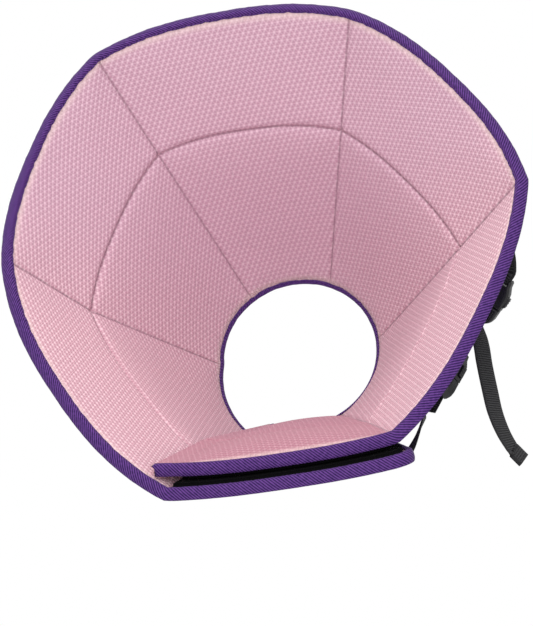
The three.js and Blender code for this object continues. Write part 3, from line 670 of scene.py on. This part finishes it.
dense = np.concatenate([
    np.linspace(STRIP_START, STRIP_END - CORNER_SPAN, 1400, endpoint=False),
    STRIP_END - CORNER_SPAN * (1 - np.sin(np.linspace(0, np.pi / 2, 40))),
])
down = np.linspace(edge_back(np.array(STRIP_END)), CONE_DEPTH, 200)[1:]
rim_along, rim_back = even_path(
    np.concatenate([dense, np.full(len(down), STRIP_END)]),
    np.concatenate([edge_back(dense), down]), BINDING_STEP)
rim_binding = binding("rim_binding_tape", rim_along, rim_back, 1, FLAP_MITRE)
end_room = BINDING_REACH / float(panel_length(LAST_FOLD - 0.5, CONE_DEPTH))
neck_dense = np.linspace(STRIP_START, STRIP_END - end_room, 900)
neck_along, neck_back = even_path(neck_dense, np.full(len(neck_dense), CONE_DEPTH), BINDING_STEP)
neck_binding = binding("neck_binding_tape", neck_along, neck_back, -1, FLAP_MITRE)
dress(rim_binding, "rim_binding")
dress(neck_binding, "neck_binding")

# %% [markdown]
# ## The fastener tapes
#
# One tape is sewn on the back of the flap and one on the face of the layer behind it. They show
# only as the black gap between the two layers, so they are plain slabs of the wall with a
# stubble of hooks or loops in their material.

# %% Fastener tapes
def fastener(name, start, end, room, low, high, node):
    """A tape over one panel, inside its bindings, with room at both ends."""
    cuts = np.linspace(start, end, 25)
    rows = rows_at(cuts)[:, 1:-1]
    length = panel_length(start, rows[0])
    along = np.clip(cuts[:, None], start + room[0] / length, end - room[1] / length)
    out, _ = wall_frame(along, rows)
    points = [wall_point(along, rows) + out * height for height in (low, high)]
    piece = sheet_grid(name, cuts, rows, lambda a, b: 0 * a + low, lambda a, b: 0 * a + high)
    piece.data.vertices.foreach_set("co", np.concatenate([p.reshape(-1, 3) for p in points]).ravel())
    piece.data.update()
    dress(piece, node)
    return piece


hooks = fastener("hook_fastener", 0.0, 1.0, (FASTENER_INSET, FASTENER_INSET),
                 WALL + CLEARANCE, WALL + CLEARANCE + FASTENER, "hook_tape")
loops = fastener("loop_fastener", LAST_FOLD - 1.0, STRIP_END, (FASTENER_INSET, BINDING_REACH),
                 -CLEARANCE - FASTENER, -CLEARANCE, "loop_tape")

# %% [markdown]
# ## The straps
#
# The straps are flat webbing. The solid webbing already follows the right route, with four
# corners at every step of it, so the route is read back off a merged copy of that solid: its
# steps are the points at the same number of edges from one end. A finer section is then swept
# along a smooth curve through them, with the round selvedges that woven tape has.

# %% Read a strap's route
MERGE_DISTANCE = 0.02 * MM


def strap_route(node):
    """Middle, width direction, width and thickness at each step of a solid strap."""
    source = bpy.data.objects[node]
    select_only(source)
    bpy.ops.object.duplicate()
    copy = bpy.context.view_layer.objects.active
    bpy.ops.object.mode_set(mode="EDIT")
    bpy.ops.mesh.select_all(action="SELECT")
    bpy.ops.mesh.remove_doubles(threshold=MERGE_DISTANCE)
    bpy.ops.object.mode_set(mode="OBJECT")
    mesh = copy.data
    points = np.array([copy.matrix_world @ vertex.co for vertex in mesh.vertices])
    near = {i: set() for i in range(len(points))}
    for edge in mesh.edges:
        a, b = edge.vertices
        near[a].add(b)
        near[b].add(a)
    bpy.data.objects.remove(copy)
    first = end_ring(near)
    rings, seen = [first], set(first)
    while True:
        fresh = sorted({j for i in rings[-1] for j in near[i]} - seen)
        if not fresh:
            break
        seen.update(fresh)
        rings.append(fresh)
    return [ring_frame(points[ring]) for ring in rings if len(ring) == 4]


def end_ring(near):
    """The four points of an end: each is joined to the others or to the next step only."""
    for corner in near:
        for ring in four_rings(corner, near):
            outside = set().union(*(near[i] for i in ring)) - set(ring)
            if len(outside) == 4:
                return sorted(ring)
    raise ValueError("no end found")


def four_rings(corner, near):
    """Groups of four points round a corner in which each is joined to at least two others."""
    for trio in combinations(sorted(near[corner]), 3):
        ring = (corner,) + trio
        if all(len(near[i] & set(ring)) >= 2 for i in ring):
            yield ring


def ring_frame(corners):
    """Middle, width direction, width and thickness of four corners of a flat section."""
    distances = np.linalg.norm(corners - corners[0], axis=1)
    order = np.argsort(distances)
    thickness = distances[order[1]]
    width = distances[order[2]]
    across = corners[order[2]] - corners[0]
    return corners.mean(axis=0), across / np.linalg.norm(across), width, thickness


routes = {node: strap_route(node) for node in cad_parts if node.endswith("_strap")}
for node, route in routes.items():
    length = sum(np.linalg.norm(b[0] - a[0]) for a, b in zip(route, route[1:]))
    print(node, len(route), "steps,", round(length * 1000), "mm")

# %% Sweep the straps
SECTION_POINTS = 18
ROUTE_STEPS = 3


def strap_section(width, thickness):
    """A flat section with round selvedges: offsets across the strap and over it."""
    angle = np.linspace(0, 2 * np.pi, SECTION_POINTS, endpoint=False)
    across = np.sign(np.cos(angle)) * np.abs(np.cos(angle)) ** 0.4 * width / 2
    over = np.sign(np.sin(angle)) * np.abs(np.sin(angle)) ** 0.55 * thickness / 2
    return across, over


def smooth_route(route):
    """More steps on a smooth curve through the route, with the width turning evenly."""
    middles = np.array([step[0] for step in route])
    across = [route[0][1]]
    for _, direction, _, _ in route[1:]:
        across.append(direction if np.dot(direction, across[-1]) > 0 else -direction)
    across = np.array(across)
    sizes = np.array([step[2:] for step in route])
    padded = np.concatenate([2 * middles[:1] - middles[1:2], middles, 2 * middles[-1:] - middles[-2:-1]])
    places, turns, measures = [], [], []
    for step in range(len(middles) - 1):
        a, b, c, d = padded[step:step + 4]
        for share in np.arange(ROUTE_STEPS) / ROUTE_STEPS:
            curve = 2 * b + (c - a) * share + (2 * a - 5 * b + 4 * c - d) * share ** 2
            curve = 0.5 * (curve + (3 * b - a - 3 * c + d) * share ** 3)
            places.append(curve)
            turns.append(across[step] * (1 - share) + across[step + 1] * share)
            measures.append(sizes[step] * (1 - share) + sizes[step + 1] * share)
    return (np.array(places + [middles[-1]]), unit(np.array(turns + [across[-1]])),
            np.array(measures + [sizes[-1]]))


def strap(name, node):
    """Webbing along the solid strap's route."""
    middles, across, sizes = smooth_route(routes[node])
    run = unit(np.gradient(middles, axis=0))
    across = unit(across - run * np.sum(across * run, axis=1, keepdims=True))
    face = np.cross(run, across)
    rings = []
    for middle, side, over, size in zip(middles, across, face, sizes):
        x, z = strap_section(*size)
        rings.append(middle + side * x[:, None] + over * z[:, None])
    x, _ = strap_section(*sizes[0])
    piece = sweep(name, np.array(rings), path_lengths(middles), np.append(x, x[0]))
    dress(piece, node)
    return piece


webbing = []
for part in ("upper_anchor", "upper_pull", "lower_anchor", "lower_pull"):
    webbing.append(strap(f"{part}_webbing", f"{part}_strap"))

# %% [markdown]
# ## The buckles
#
# A buckle half is one moulding, and the solid one has its windows, prongs and bars already. A
# merged copy of it gets what a mould gives: a small round on every edge. Then come the details
# that are too small for the solid: a raised panel on each face, and the grip ribs on the side
# buttons. They are modelled in the buckle's own axes, x along the pull, y across and z out of
# the face, and then turned into place, because a detail is easy to place there.

# %% Buckle tools
MOULD_ROUND = 0.28 * MM
BUCKLE_FACE = 4.25
BUCKLE_AXES = {
    "upper": ((145.73, -118.07, -36.27), (-0.6767, 0.5202, -0.5210), (-0.6707, -0.1437, 0.7277)),
    "lower": ((108.30, -121.79, -89.64), (-0.5628, -0.0695, -0.8236), (-0.7569, 0.4437, 0.4798)),
}


def buckle_matrix(name):
    """The matrix from the buckle's own axes to the object's."""
    middle, x, y = (Vector(row) for row in BUCKLE_AXES[name])
    z = x.cross(y)
    return Matrix.Translation(middle * MM) @ Matrix((x, y, z)).transposed().to_4x4()


def moulded_copy(node, name):
    """A merged copy of a solid moulding, with a small round on its edges."""
    source = bpy.data.objects[node]
    select_only(source)
    bpy.ops.object.duplicate()
    piece = bpy.context.view_layer.objects.active
    piece.name = name
    bpy.ops.object.transform_apply(location=True, rotation=True, scale=True)
    bpy.ops.object.mode_set(mode="EDIT")
    bpy.ops.mesh.select_all(action="SELECT")
    bpy.ops.mesh.remove_doubles(threshold=MERGE_DISTANCE)
    bpy.ops.mesh.dissolve_limited(angle_limit=math.radians(1))
    bpy.ops.object.mode_set(mode="OBJECT")
    rounding = piece.modifiers.new("rounding", "BEVEL")
    rounding.width = MOULD_ROUND
    rounding.segments = 2
    rounding.limit_method = "ANGLE"
    rounding.angle_limit = math.radians(28)
    apply_all(piece)
    bpy.ops.object.shade_smooth_by_angle(angle=math.radians(40))
    return piece


def detail(matrix, size, place, bevel):
    """A rounded block in the buckle's axes: its size and middle in millimetres."""
    bpy.ops.object.select_all(action="DESELECT")
    bpy.ops.mesh.primitive_cube_add(size=1)
    block = bpy.context.view_layer.objects.active
    block.scale = Vector(size) * MM
    bpy.ops.object.transform_apply(location=False, rotation=False, scale=True)
    rounding = block.modifiers.new("rounding", "BEVEL")
    rounding.width = bevel * MM
    rounding.segments = 3
    apply_all(block)
    bpy.ops.object.shade_smooth_by_angle(angle=math.radians(40))
    block.matrix_world = matrix @ Matrix.Translation(Vector(place) * MM)
    bpy.ops.object.transform_apply(location=True, rotation=True, scale=True)
    return block


def join_all(piece, details):
    """Join the details into the piece."""
    bpy.ops.object.select_all(action="DESELECT")
    for block in details:
        block.select_set(True)
    piece.select_set(True)
    bpy.context.view_layer.objects.active = piece
    bpy.ops.object.join()


# %% The sockets and the plugs
buckles = []
for side in ("upper", "lower"):
    matrix = buckle_matrix(side)
    socket = moulded_copy(f"{side}_buckle_socket", f"{side}_socket_moulding")
    ridges = []
    for face in (-1, 1):
        ridges.append(detail(matrix, (9.5, 12.5, 0.7), (-7.2, 0, face * BUCKLE_FACE), 0.3))
        ridges.append(detail(matrix, (0.9, 22.0, 0.5), (-1.2, 0, face * BUCKLE_FACE), 0.22))
    join_all(socket, ridges)
    plug = moulded_copy(f"{side}_buckle_plug", f"{side}_plug_moulding")
    ridges = []
    for edge in (-1, 1):
        for row in (-9.4, -7.3, -5.2):
            ridges.append(detail(matrix, (0.8, 0.7, 3.6), (row, edge * 14.3, 0), 0.25))
        for face in (1, -1):
            ridges.append(detail(matrix, (9.0, 0.9, 0.6), (7.0, edge * 9.6, face * BUCKLE_FACE), 0.28))
    join_all(plug, ridges)
    for piece, part in ((socket, "socket"), (plug, "plug")):
        dress(piece, f"{side}_buckle_{part}")
        buckles.append(piece)

# %% [markdown]
# ## The stitches
#
# A stitch is a short bead of thread. One bead is made, and its points are copied to every place
# on a seam, all in one mesh, so that hundreds of stitches stay light. A lockstitch is about
# three millimetres long with a small gap, and it sits in the groove that it pulls.

# %% Stitch tools
def bead():
    """The points and faces of one round bead of thread."""
    bpy.ops.object.select_all(action="DESELECT")
    bpy.ops.mesh.primitive_uv_sphere_add(segments=6, ring_count=4, radius=1)
    made = bpy.context.view_layer.objects.active
    points = np.array([vertex.co for vertex in made.data.vertices])
    faces = [tuple(face.vertices) for face in made.data.polygons]
    bpy.data.objects.remove(made)
    return points, faces


BEAD_POINTS, BEAD_FACES = bead()


def stitch_line(path, normals, length=2.6 * MM, gap=0.8 * MM, radius=0.22 * MM):
    """Beads along a path of points, each lying in the path's direction."""
    reach = path_lengths(path)
    middles = np.arange(length / 2, reach[-1] - length / 2, length + gap)

    def at(distance):
        return np.stack([np.interp(distance, reach, path[:, axis]) for axis in range(3)], axis=-1)

    run = unit(at(middles + length / 2) - at(middles - length / 2))
    normal = np.stack([np.interp(middles, reach, normals[:, axis]) for axis in range(3)], axis=-1)
    side = unit(np.cross(run, normal))
    over = np.cross(side, run)
    scaled = BEAD_POINTS[:, [2, 0, 1]] * np.array([length / 2, radius, radius])
    places = at(middles)[:, None]
    return (places + scaled[None, :, 0, None] * run[:, None] + scaled[None, :, 1, None] * side[:, None]
            + scaled[None, :, 2, None] * over[:, None])


def stitches(name, lines):
    """One piece from several lines of stitches."""
    beads = np.concatenate(lines)
    size = len(BEAD_POINTS)
    faces = [tuple(i + size * n for i in face) for n in range(len(beads)) for face in BEAD_FACES]
    piece = mesh_piece(name, beads.reshape(-1, 3), faces, {})
    outwards(piece)
    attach(piece, "root")
    print(name, len(beads), "stitches,", triangles(piece), "triangles")
    return piece


# %% Stitches on the bindings
def hem_lines(along, back, sign):
    """The two lines of stitches near a binding's hems, inside and outside the wall."""
    edge = wall_point(along, back)
    out, _ = wall_frame(along, back)
    inward = unit(np.cross(np.gradient(edge, axis=0), out)) * sign
    reach = BINDING_WIDTH - GROOVE_INSET
    depth = CLEARANCE + 0.8 * BINDING_THICKNESS
    inside = edge + inward * reach - out * depth
    outside = edge + inward * reach + out * (WALL + depth)
    return [stitch_line(inside[2:-2], -out[2:-2]), stitch_line(outside[2:-2], out[2:-2])]


rim_stitches = stitches("rim_stitches", hem_lines(rim_along, rim_back, 1))
neck_stitches = stitches("neck_stitches", hem_lines(neck_along, neck_back, -1))

# %% Stitches of the ring seam
THREAD_RISE = 0.25 * MM
COVER_THREAD_SINK = 0.1 * MM
seam_cuts = np.linspace(0.02, LAST_FOLD - 1, 700)
ring_back = np.full_like(seam_cuts, RING_BACK)
ring_out, _ = wall_frame(seam_cuts, ring_back)
ring_face = wall_point(seam_cuts, ring_back) + ring_out * (SEAM_SINK - THREAD_RISE)
ring_stitches = stitches(
    "ring_stitches", [stitch_line(ring_face, -ring_out, radius=0.3 * MM)])
cover_cuts = np.linspace(1.02, STRIP_END - 0.05, 700)
cover_ring = np.full_like(cover_cuts, RING_BACK)
cover_out, _ = wall_frame(cover_cuts, cover_ring)
cover_seam = wall_point(cover_cuts, cover_ring) + cover_out * (WALL - COVER_THREAD_SINK)
cover_stitches = stitches("cover_stitches", [stitch_line(cover_seam, cover_out)])

# %% Stitches on the straps
def strap_rows(node, distances, end, inset=1.2 * MM):
    """Rows of stitches across a strap on both of its faces, at distances from one end."""
    middles, across, sizes = smooth_route(routes[node])
    if end == "last":
        middles, across, sizes = middles[::-1], across[::-1], sizes[::-1]
    lengths = path_lengths(middles)
    lines = []
    for distance in distances:
        spot = int(np.searchsorted(lengths, distance))
        run = unit(middles[spot + 1] - middles[spot - 1])
        side = unit(across[spot] - run * np.dot(across[spot], run))
        over = np.cross(run, side)
        width, thickness = sizes[spot]
        middle = middles[spot - 1] + (middles[spot] - middles[spot - 1]) * (
            (distance - lengths[spot - 1]) / (lengths[spot] - lengths[spot - 1]))
        ends = np.array([-1.0, 1.0])[:, None] * side * (width / 2 - inset)
        for face in (-1, 1):
            line = middle + ends + over * face * thickness / 2
            lines.append(stitch_line(line, np.array([over, over]) * face, 1.7 * MM, 0.6 * MM, 0.2 * MM))
    return lines


def tail_end(node):
    """Which end of the strap's route hangs lower."""
    route = routes[node]
    return "first" if route[0][0][2] < route[-1][0][2] else "last"


TAB_ROWS = (1.3 * MM, 8.6 * MM)
strap_lines = strap_rows("upper_pull_strap", TAB_ROWS, tail_end("upper_pull_strap"))
strap_stitches = stitches("strap_stitches", strap_lines)

# %% [markdown]
# ## Materials
#
# Each material is maths on a few sockets. `Shade` wraps a socket so that the maths reads like
# ordinary arithmetic. All patterns use the UV maps in metres, so a sine with a period of three
# millimetres is a row of knit every three millimetres, whatever the piece's shape.

# %% Shader maths
class Shade:
    """An output socket that can be used in sums like a number."""

    def __init__(self, tree, socket):
        self.tree = tree
        self.socket = socket

    def make(self, kind, settings, sockets, output=0):
        """Make any node: its type, then its settings, then what goes into its sockets."""
        node = self.tree.nodes.new(kind)
        for name, value in settings.items():
            setattr(node, name, value)
        for name, value in sockets.items():
            if isinstance(value, Shade):
                self.tree.links.new(value.socket, node.inputs[name])
            else:
                node.inputs[name].default_value = value
        return Shade(self.tree, node.outputs[output])

    def math(self, operation, *others):
        values = (self,) + others
        return self.make("ShaderNodeMath", {"operation": operation}, dict(enumerate(values)))

    def __add__(self, other):
        return self.math("ADD", other)

    def __mul__(self, other):
        return self.math("MULTIPLY", other)

    def __sub__(self, other):
        return self.math("SUBTRACT", other)

    def __rsub__(self, other):
        return self.math("MULTIPLY", -1.0).math("ADD", other)

    def wave(self, period, shift=0.0):
        """A cosine of a length in metres, with its period in metres."""
        return (self * (2 * math.pi / period) + shift).math("COSINE")

    def step(self, low, high):
        """A smooth step from 0 at low to 1 at high."""
        settings = {"interpolation_type": "SMOOTHSTEP"}
        return self.make("ShaderNodeMapRange", settings, {"Value": self, "From Min": low, "From Max": high})

    def blend(self, first, second):
        """A colour between two, by this value from 0 to 1."""
        sockets = {0: self, 6: first, 7: second}
        return self.make("ShaderNodeMix", {"data_type": "RGBA"}, sockets, output=2)


def finish_material(name, roughness, sheen=0.0, gloss=0.25):
    """A new material, its node tree wrapped, and its main shader."""
    material = bpy.data.materials.new(name)
    material.use_nodes = True
    tree = material.node_tree
    shader = tree.nodes["Principled BSDF"]
    shader.inputs["Roughness"].default_value = roughness
    shader.inputs["Sheen Weight"].default_value = sheen
    shader.inputs["Specular IOR Level"].default_value = gloss
    return material, Shade(tree, None), shader


def plug_in(shade, shader, colour=None, height=None, distance=0.0003, strength=1.0):
    """Join a colour and a bump to the main shader."""
    if isinstance(colour, Shade):
        shade.tree.links.new(colour.socket, shader.inputs["Base Color"])
    elif colour is not None:
        shader.inputs["Base Color"].default_value = colour
    if height is not None:
        sockets = {"Height": height, "Distance": distance, "Strength": strength}
        bump = shade.make("ShaderNodeBump", {}, sockets)
        shade.tree.links.new(bump.socket, shader.inputs["Normal"])


def flat_coordinates(shade, uv_map):
    """The two coordinates of a UV map, in metres."""
    place = shade.make("ShaderNodeUVMap", {"uv_map": uv_map}, {})
    parts = [shade.make("ShaderNodeSeparateXYZ", {}, {"Vector": place}, output=i) for i in (0, 1)]
    return place, parts[0], parts[1]


def noise(shade, place, scale, detail=2.0):
    """Soft noise from 0 to 1 at a scale per metre."""
    return shade.make("ShaderNodeTexNoise", {}, {"Vector": place, "Scale": scale, "Detail": detail})


# %% The lining's air mesh
KNIT_ROW = 3.5 * MM
PEACH_LOW, PEACH_HIGH = (0.57, 0.30, 0.37, 1), (0.93, 0.66, 0.72, 1)
# Painted shade: the mauve pair is the peach lining painted darker and cooler, for the upper panels, where
# less light falls.
SHADED_MAUVE_LOW, SHADED_MAUVE_HIGH = (0.55, 0.31, 0.41, 1), (0.82, 0.57, 0.67, 1)
# Painted shadow: the flap's pair is the same lining painted darker, as if shaded by the wearer's head.
FLAP_SHADOW_LOW, FLAP_SHADOW_HIGH = (0.44, 0.175, 0.235, 1), (0.62, 0.33, 0.395, 1)
# Painted highlight: the lining is painted paler within a few millimetres of the bindings, along its puckered
# hems.
HEM_PAINTED_HIGHLIGHT = (0.93, 0.74, 0.70, 1)
# Painted shade: the colour painted into the folds and the ring seam, where shade falls in the crease.
CREASE_SHADE = (0.30, 0.13, 0.19, 1)
# Painted shade: the colour the lining is painted towards deep in the cone, where less light reaches.
DEEP_SHADE = (0.40, 0.20, 0.28, 1)
PANEL = float(panel_length(2, 0))

lining_material, shade, shader = finish_material("lining_air_mesh", 0.85, sheen=0.15)
place, u, v = flat_coordinates(shade, "weave")
_, along_strip, from_edge = flat_coordinates(shade, "seam")
slanted = math.sqrt(3) / 2
left_slant = v * 0.5 + u * slanted
right_slant = v * 0.5 - u * slanted
courses = v.wave(KNIT_ROW) * 1.1 + v.wave(KNIT_ROW / 2) * 0.3
coarse = (left_slant.wave(KNIT_ROW) + right_slant.wave(KNIT_ROW)) * 0.75
fine = (left_slant.wave(KNIT_ROW / 2) + right_slant.wave(KNIT_ROW / 2)) * 0.5
jitter = noise(shade, place, 260.0) * 1.4 - 0.7
bumps = (courses + coarse + fine + jitter).step(-2.0, 2.3)
near_hem = 1.0 - from_edge.step(BINDING_WIDTH, BINDING_WIDTH + 6 * MM)
_, panel_number, back = flat_coordinates(shade, "quilt")
off_fold = ((panel_number + 0.5).math("FRACT") - 0.5).math("ABSOLUTE")
on_fold = (1.0 - off_fold.step(0.2 * MM / PANEL, 1.1 * MM / PANEL)) * panel_number.step(0.4, 0.6)
on_ring = 1.0 - (back - RING_BACK).math("ABSOLUTE").step(0.3 * MM, 1.2 * MM)
crease = on_fold.math("MAXIMUM", on_ring)
# Painted shadow: the flap takes the darker flap pair, and the rest of the strip takes the peach and mauve.
past_flap = panel_number.step(0.985, 1.0)
# Painted shade: the lining is painted darker behind the ring seam, towards the neck.
deep = back.step(0.9 * RING_BACK, 1.5 * RING_BACK) * 0.22
pucker = (along_strip + noise(shade, place, 60.0) * 0.006).wave(5.2 * MM) * near_hem
# Painted shade: the lining turns from peach to the darker mauve the higher it is in the object.
painted_upper_shade = shade.make("ShaderNodeSeparateXYZ", {}, {
    "Vector": shade.make("ShaderNodeTexCoord", {}, {}, output=3)}, output=2).step(-0.03, 0.10)
low = past_flap.blend(FLAP_SHADOW_LOW, painted_upper_shade.blend(PEACH_LOW, SHADED_MAUVE_LOW))
high = past_flap.blend(FLAP_SHADOW_HIGH, painted_upper_shade.blend(PEACH_HIGH, SHADED_MAUVE_HIGH))
# Painted highlight: the knit is painted paler next to the bindings. Then painted shade darkens it deep in
# the cone.
knit = deep.blend((near_hem * 0.55).blend(bumps.blend(low, high), HEM_PAINTED_HIGHLIGHT), DEEP_SHADE)
lining_height = bumps * 0.6 + pucker * 0.5 - crease * 0.8
# Painted shade: the folds and the ring seam are painted darker. The same mask also sinks them in the bump.
plug_in(shade, shader, (crease * 0.5).blend(knit, CREASE_SHADE), lining_height, 0.0009, 0.9)

# %% The cover's cloth, the tapes, the webbing and the plastic
COVER_LOW, COVER_HIGH = (0.075, 0.018, 0.19, 1), (0.13, 0.04, 0.29, 1)
TAPE_LOW, TAPE_HIGH = (0.017, 0.004, 0.064, 1), (0.145, 0.052, 0.28, 1)
# Painted shade: the dark purple painted into the stitched grooves of the tape.
GROOVE_SHADE = (0.008, 0.002, 0.030, 1)
RIB_LOW, RIB_HIGH = (0.003, 0.003, 0.004, 1), (0.034, 0.034, 0.039, 1)

cover_material, shade, shader = finish_material("cover_cloth", 0.8, sheen=0.2)
_, u, v = flat_coordinates(shade, "weave")
weave = u.wave(0.9 * MM) * v.wave(0.9 * MM)
plug_in(shade, shader, (weave * 0.5 + 0.5).blend(COVER_LOW, COVER_HIGH), weave, 0.00012)

tape_material, shade, shader = finish_material("binding_twill", 0.6, sheen=0.05, gloss=0.15)
place, u, v = flat_coordinates(shade, "weave")
twill = (u + v).wave(2.3 * MM) * 0.5 + 0.5
mottle = noise(shade, place, 420.0)
eased = noise(shade, place, 130.0)
tone = (twill * 0.65 + mottle * 0.75 - 0.2).step(0.1, 0.95)
# Painted shade: the tape is painted darker along the two grooves that the hem stitches pull in.
grooves = [(v - float(AROUND[spot])).math("ABSOLUTE") for spot in GROOVE_SPOTS]
groove = 1.0 - grooves[0].math("MINIMUM", grooves[1]).step(0.15 * MM, 0.6 * MM)
tape_colour = (groove * 0.8).blend(tone.blend(TAPE_LOW, TAPE_HIGH), GROOVE_SHADE)
plug_in(shade, shader, tape_colour, twill * 0.5 + eased * 0.9, 0.0005)

fastener_material, shade, shader = finish_material("fastener_stubble", 0.95, gloss=0.1)
place, u, v = flat_coordinates(shade, "weave")
stubble = u.wave(1.4 * MM) * v.wave(1.4 * MM) + noise(shade, place, 900.0)
plug_in(shade, shader, (0.004, 0.004, 0.005, 1), stubble, 0.0005)

webbing_material, shade, shader = finish_material("ribbed_webbing", 0.6, sheen=0.1)
_, u, v = flat_coordinates(shade, "weave")
selvedge = v.math("ABSOLUTE").step(5.2 * MM, 5.9 * MM)
ribs = u.wave(1.76 * MM) * (1.0 - selvedge)
grain = v.wave(0.7 * MM)
rib_tone = (ribs * 0.5 + 0.5).step(0.3, 0.9).blend(RIB_LOW, RIB_HIGH)
plug_in(shade, shader, rib_tone, ribs * 0.8 + grain * 0.12, 0.0005)

plastic_material, shade, shader = finish_material("buckle_plastic", 0.36, gloss=0.5)
grain = noise(shade, shade.make("ShaderNodeTexCoord", {}, {}, output=3), 2600.0)
plug_in(shade, shader, (0.010, 0.010, 0.012, 1), grain, 0.00004)

thread_material, shade, shader = finish_material("purple_thread", 0.5)
plug_in(shade, shader, (0.14, 0.055, 0.30, 1))
pink_thread_material, shade, shader = finish_material("pink_thread", 0.6)
plug_in(shade, shader, (0.62, 0.34, 0.42, 1))
black_thread_material, shade, shader = finish_material("black_thread", 0.6)
plug_in(shade, shader, (0.02, 0.02, 0.022, 1))

# %% Give every piece its material
finishes = [
    (lining_material, [lining]), (cover_material, [cover]),
    (tape_material, [rim_binding, neck_binding]), (fastener_material, [hooks, loops]),
    (webbing_material, webbing), (plastic_material, buckles),
    (thread_material, [rim_stitches, neck_stitches, cover_stitches]),
    (pink_thread_material, [ring_stitches]), (black_thread_material, [strap_stitches]),
]
for material, pieces in finishes:
    for piece in pieces:
        piece.data.materials.clear()
        piece.data.materials.append(material)
        print(piece.name, "is", material.name)

grid_along = np.linspace(STRIP_START, STRIP_END, 400)
grid_back = np.linspace(0, CONE_DEPTH, 60)
grid = wall_point(grid_along[:, None], grid_back[None])
cut = weave_map(grid_along[:, None] + 0 * grid_back, 0 * grid_along[:, None] + grid_back).reshape(-1, 2)

# %% [markdown]
# ## The studio
#
# The photograph is a product picture: a white background and soft light from all round, a bit
# warmer and stronger from above and in front. The background white is for the camera alone. The
# light that falls on the cone is lower, so that it keeps its shading. A pale floor lies far
# below, for other views.

# %% Floor, world and lights
bpy.ops.object.select_all(action="DESELECT")
bpy.ops.mesh.primitive_plane_add(size=12, location=(0, 0, -1.2))
floor = bpy.context.view_layer.objects.active
floor.name = "studio_floor"
bpy.ops.object.transform_apply(location=True, rotation=False, scale=True)
floor_material, shade, shader = finish_material("pale_floor", 0.8)
plug_in(shade, shader, (0.85, 0.85, 0.85, 1))
floor.data.materials.append(floor_material)
floor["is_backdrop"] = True

world = bpy.data.worlds.new("studio")
world.use_nodes = True
bpy.context.scene.world = world
backdrop = Shade(world.node_tree, None)
seen = backdrop.make("ShaderNodeLightPath", {}, {}, output=0)
background = world.node_tree.nodes["Background"]
background.inputs["Color"].default_value = (1, 1, 1, 1)
strength = seen * 0.35 + 0.65
world.node_tree.links.new(strength.socket, background.inputs["Strength"])
bpy.context.scene.view_settings.view_transform = "Standard"


def soft_light(name, place, size, power, colour, target=(0, -0.1, 0)):
    """A large area light that faces the object."""
    data = bpy.data.lights.new(name, "AREA")
    data.size = size
    data.energy = power
    data.color = colour
    light = bpy.data.objects.new(name, data)
    light.location = place
    towards = Vector(target) - Vector(place)
    light.rotation_euler = towards.to_track_quat("-Z", "Y").to_euler()
    bpy.context.scene.collection.objects.link(light)


soft_light("front", (0.2, -2.3, -0.3), 1.4, 25, (1.0, 0.98, 0.97))
soft_light("top", (0.1, -1.5, 1.7), 1.2, 18, (1.0, 0.97, 0.95))
print("lights:", len(bpy.data.lights))

# %% [markdown]
# ## The sizes of both models
#
# The dressed model has to stay as large as the solid one, so both boxes are printed.

# %% Sizes
dressed_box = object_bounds()
for name, box in (("solid", solid_box), ("dressed", dressed_box)):
    print(name, [round(value * 1000, 1) for corner in box for value in corner])
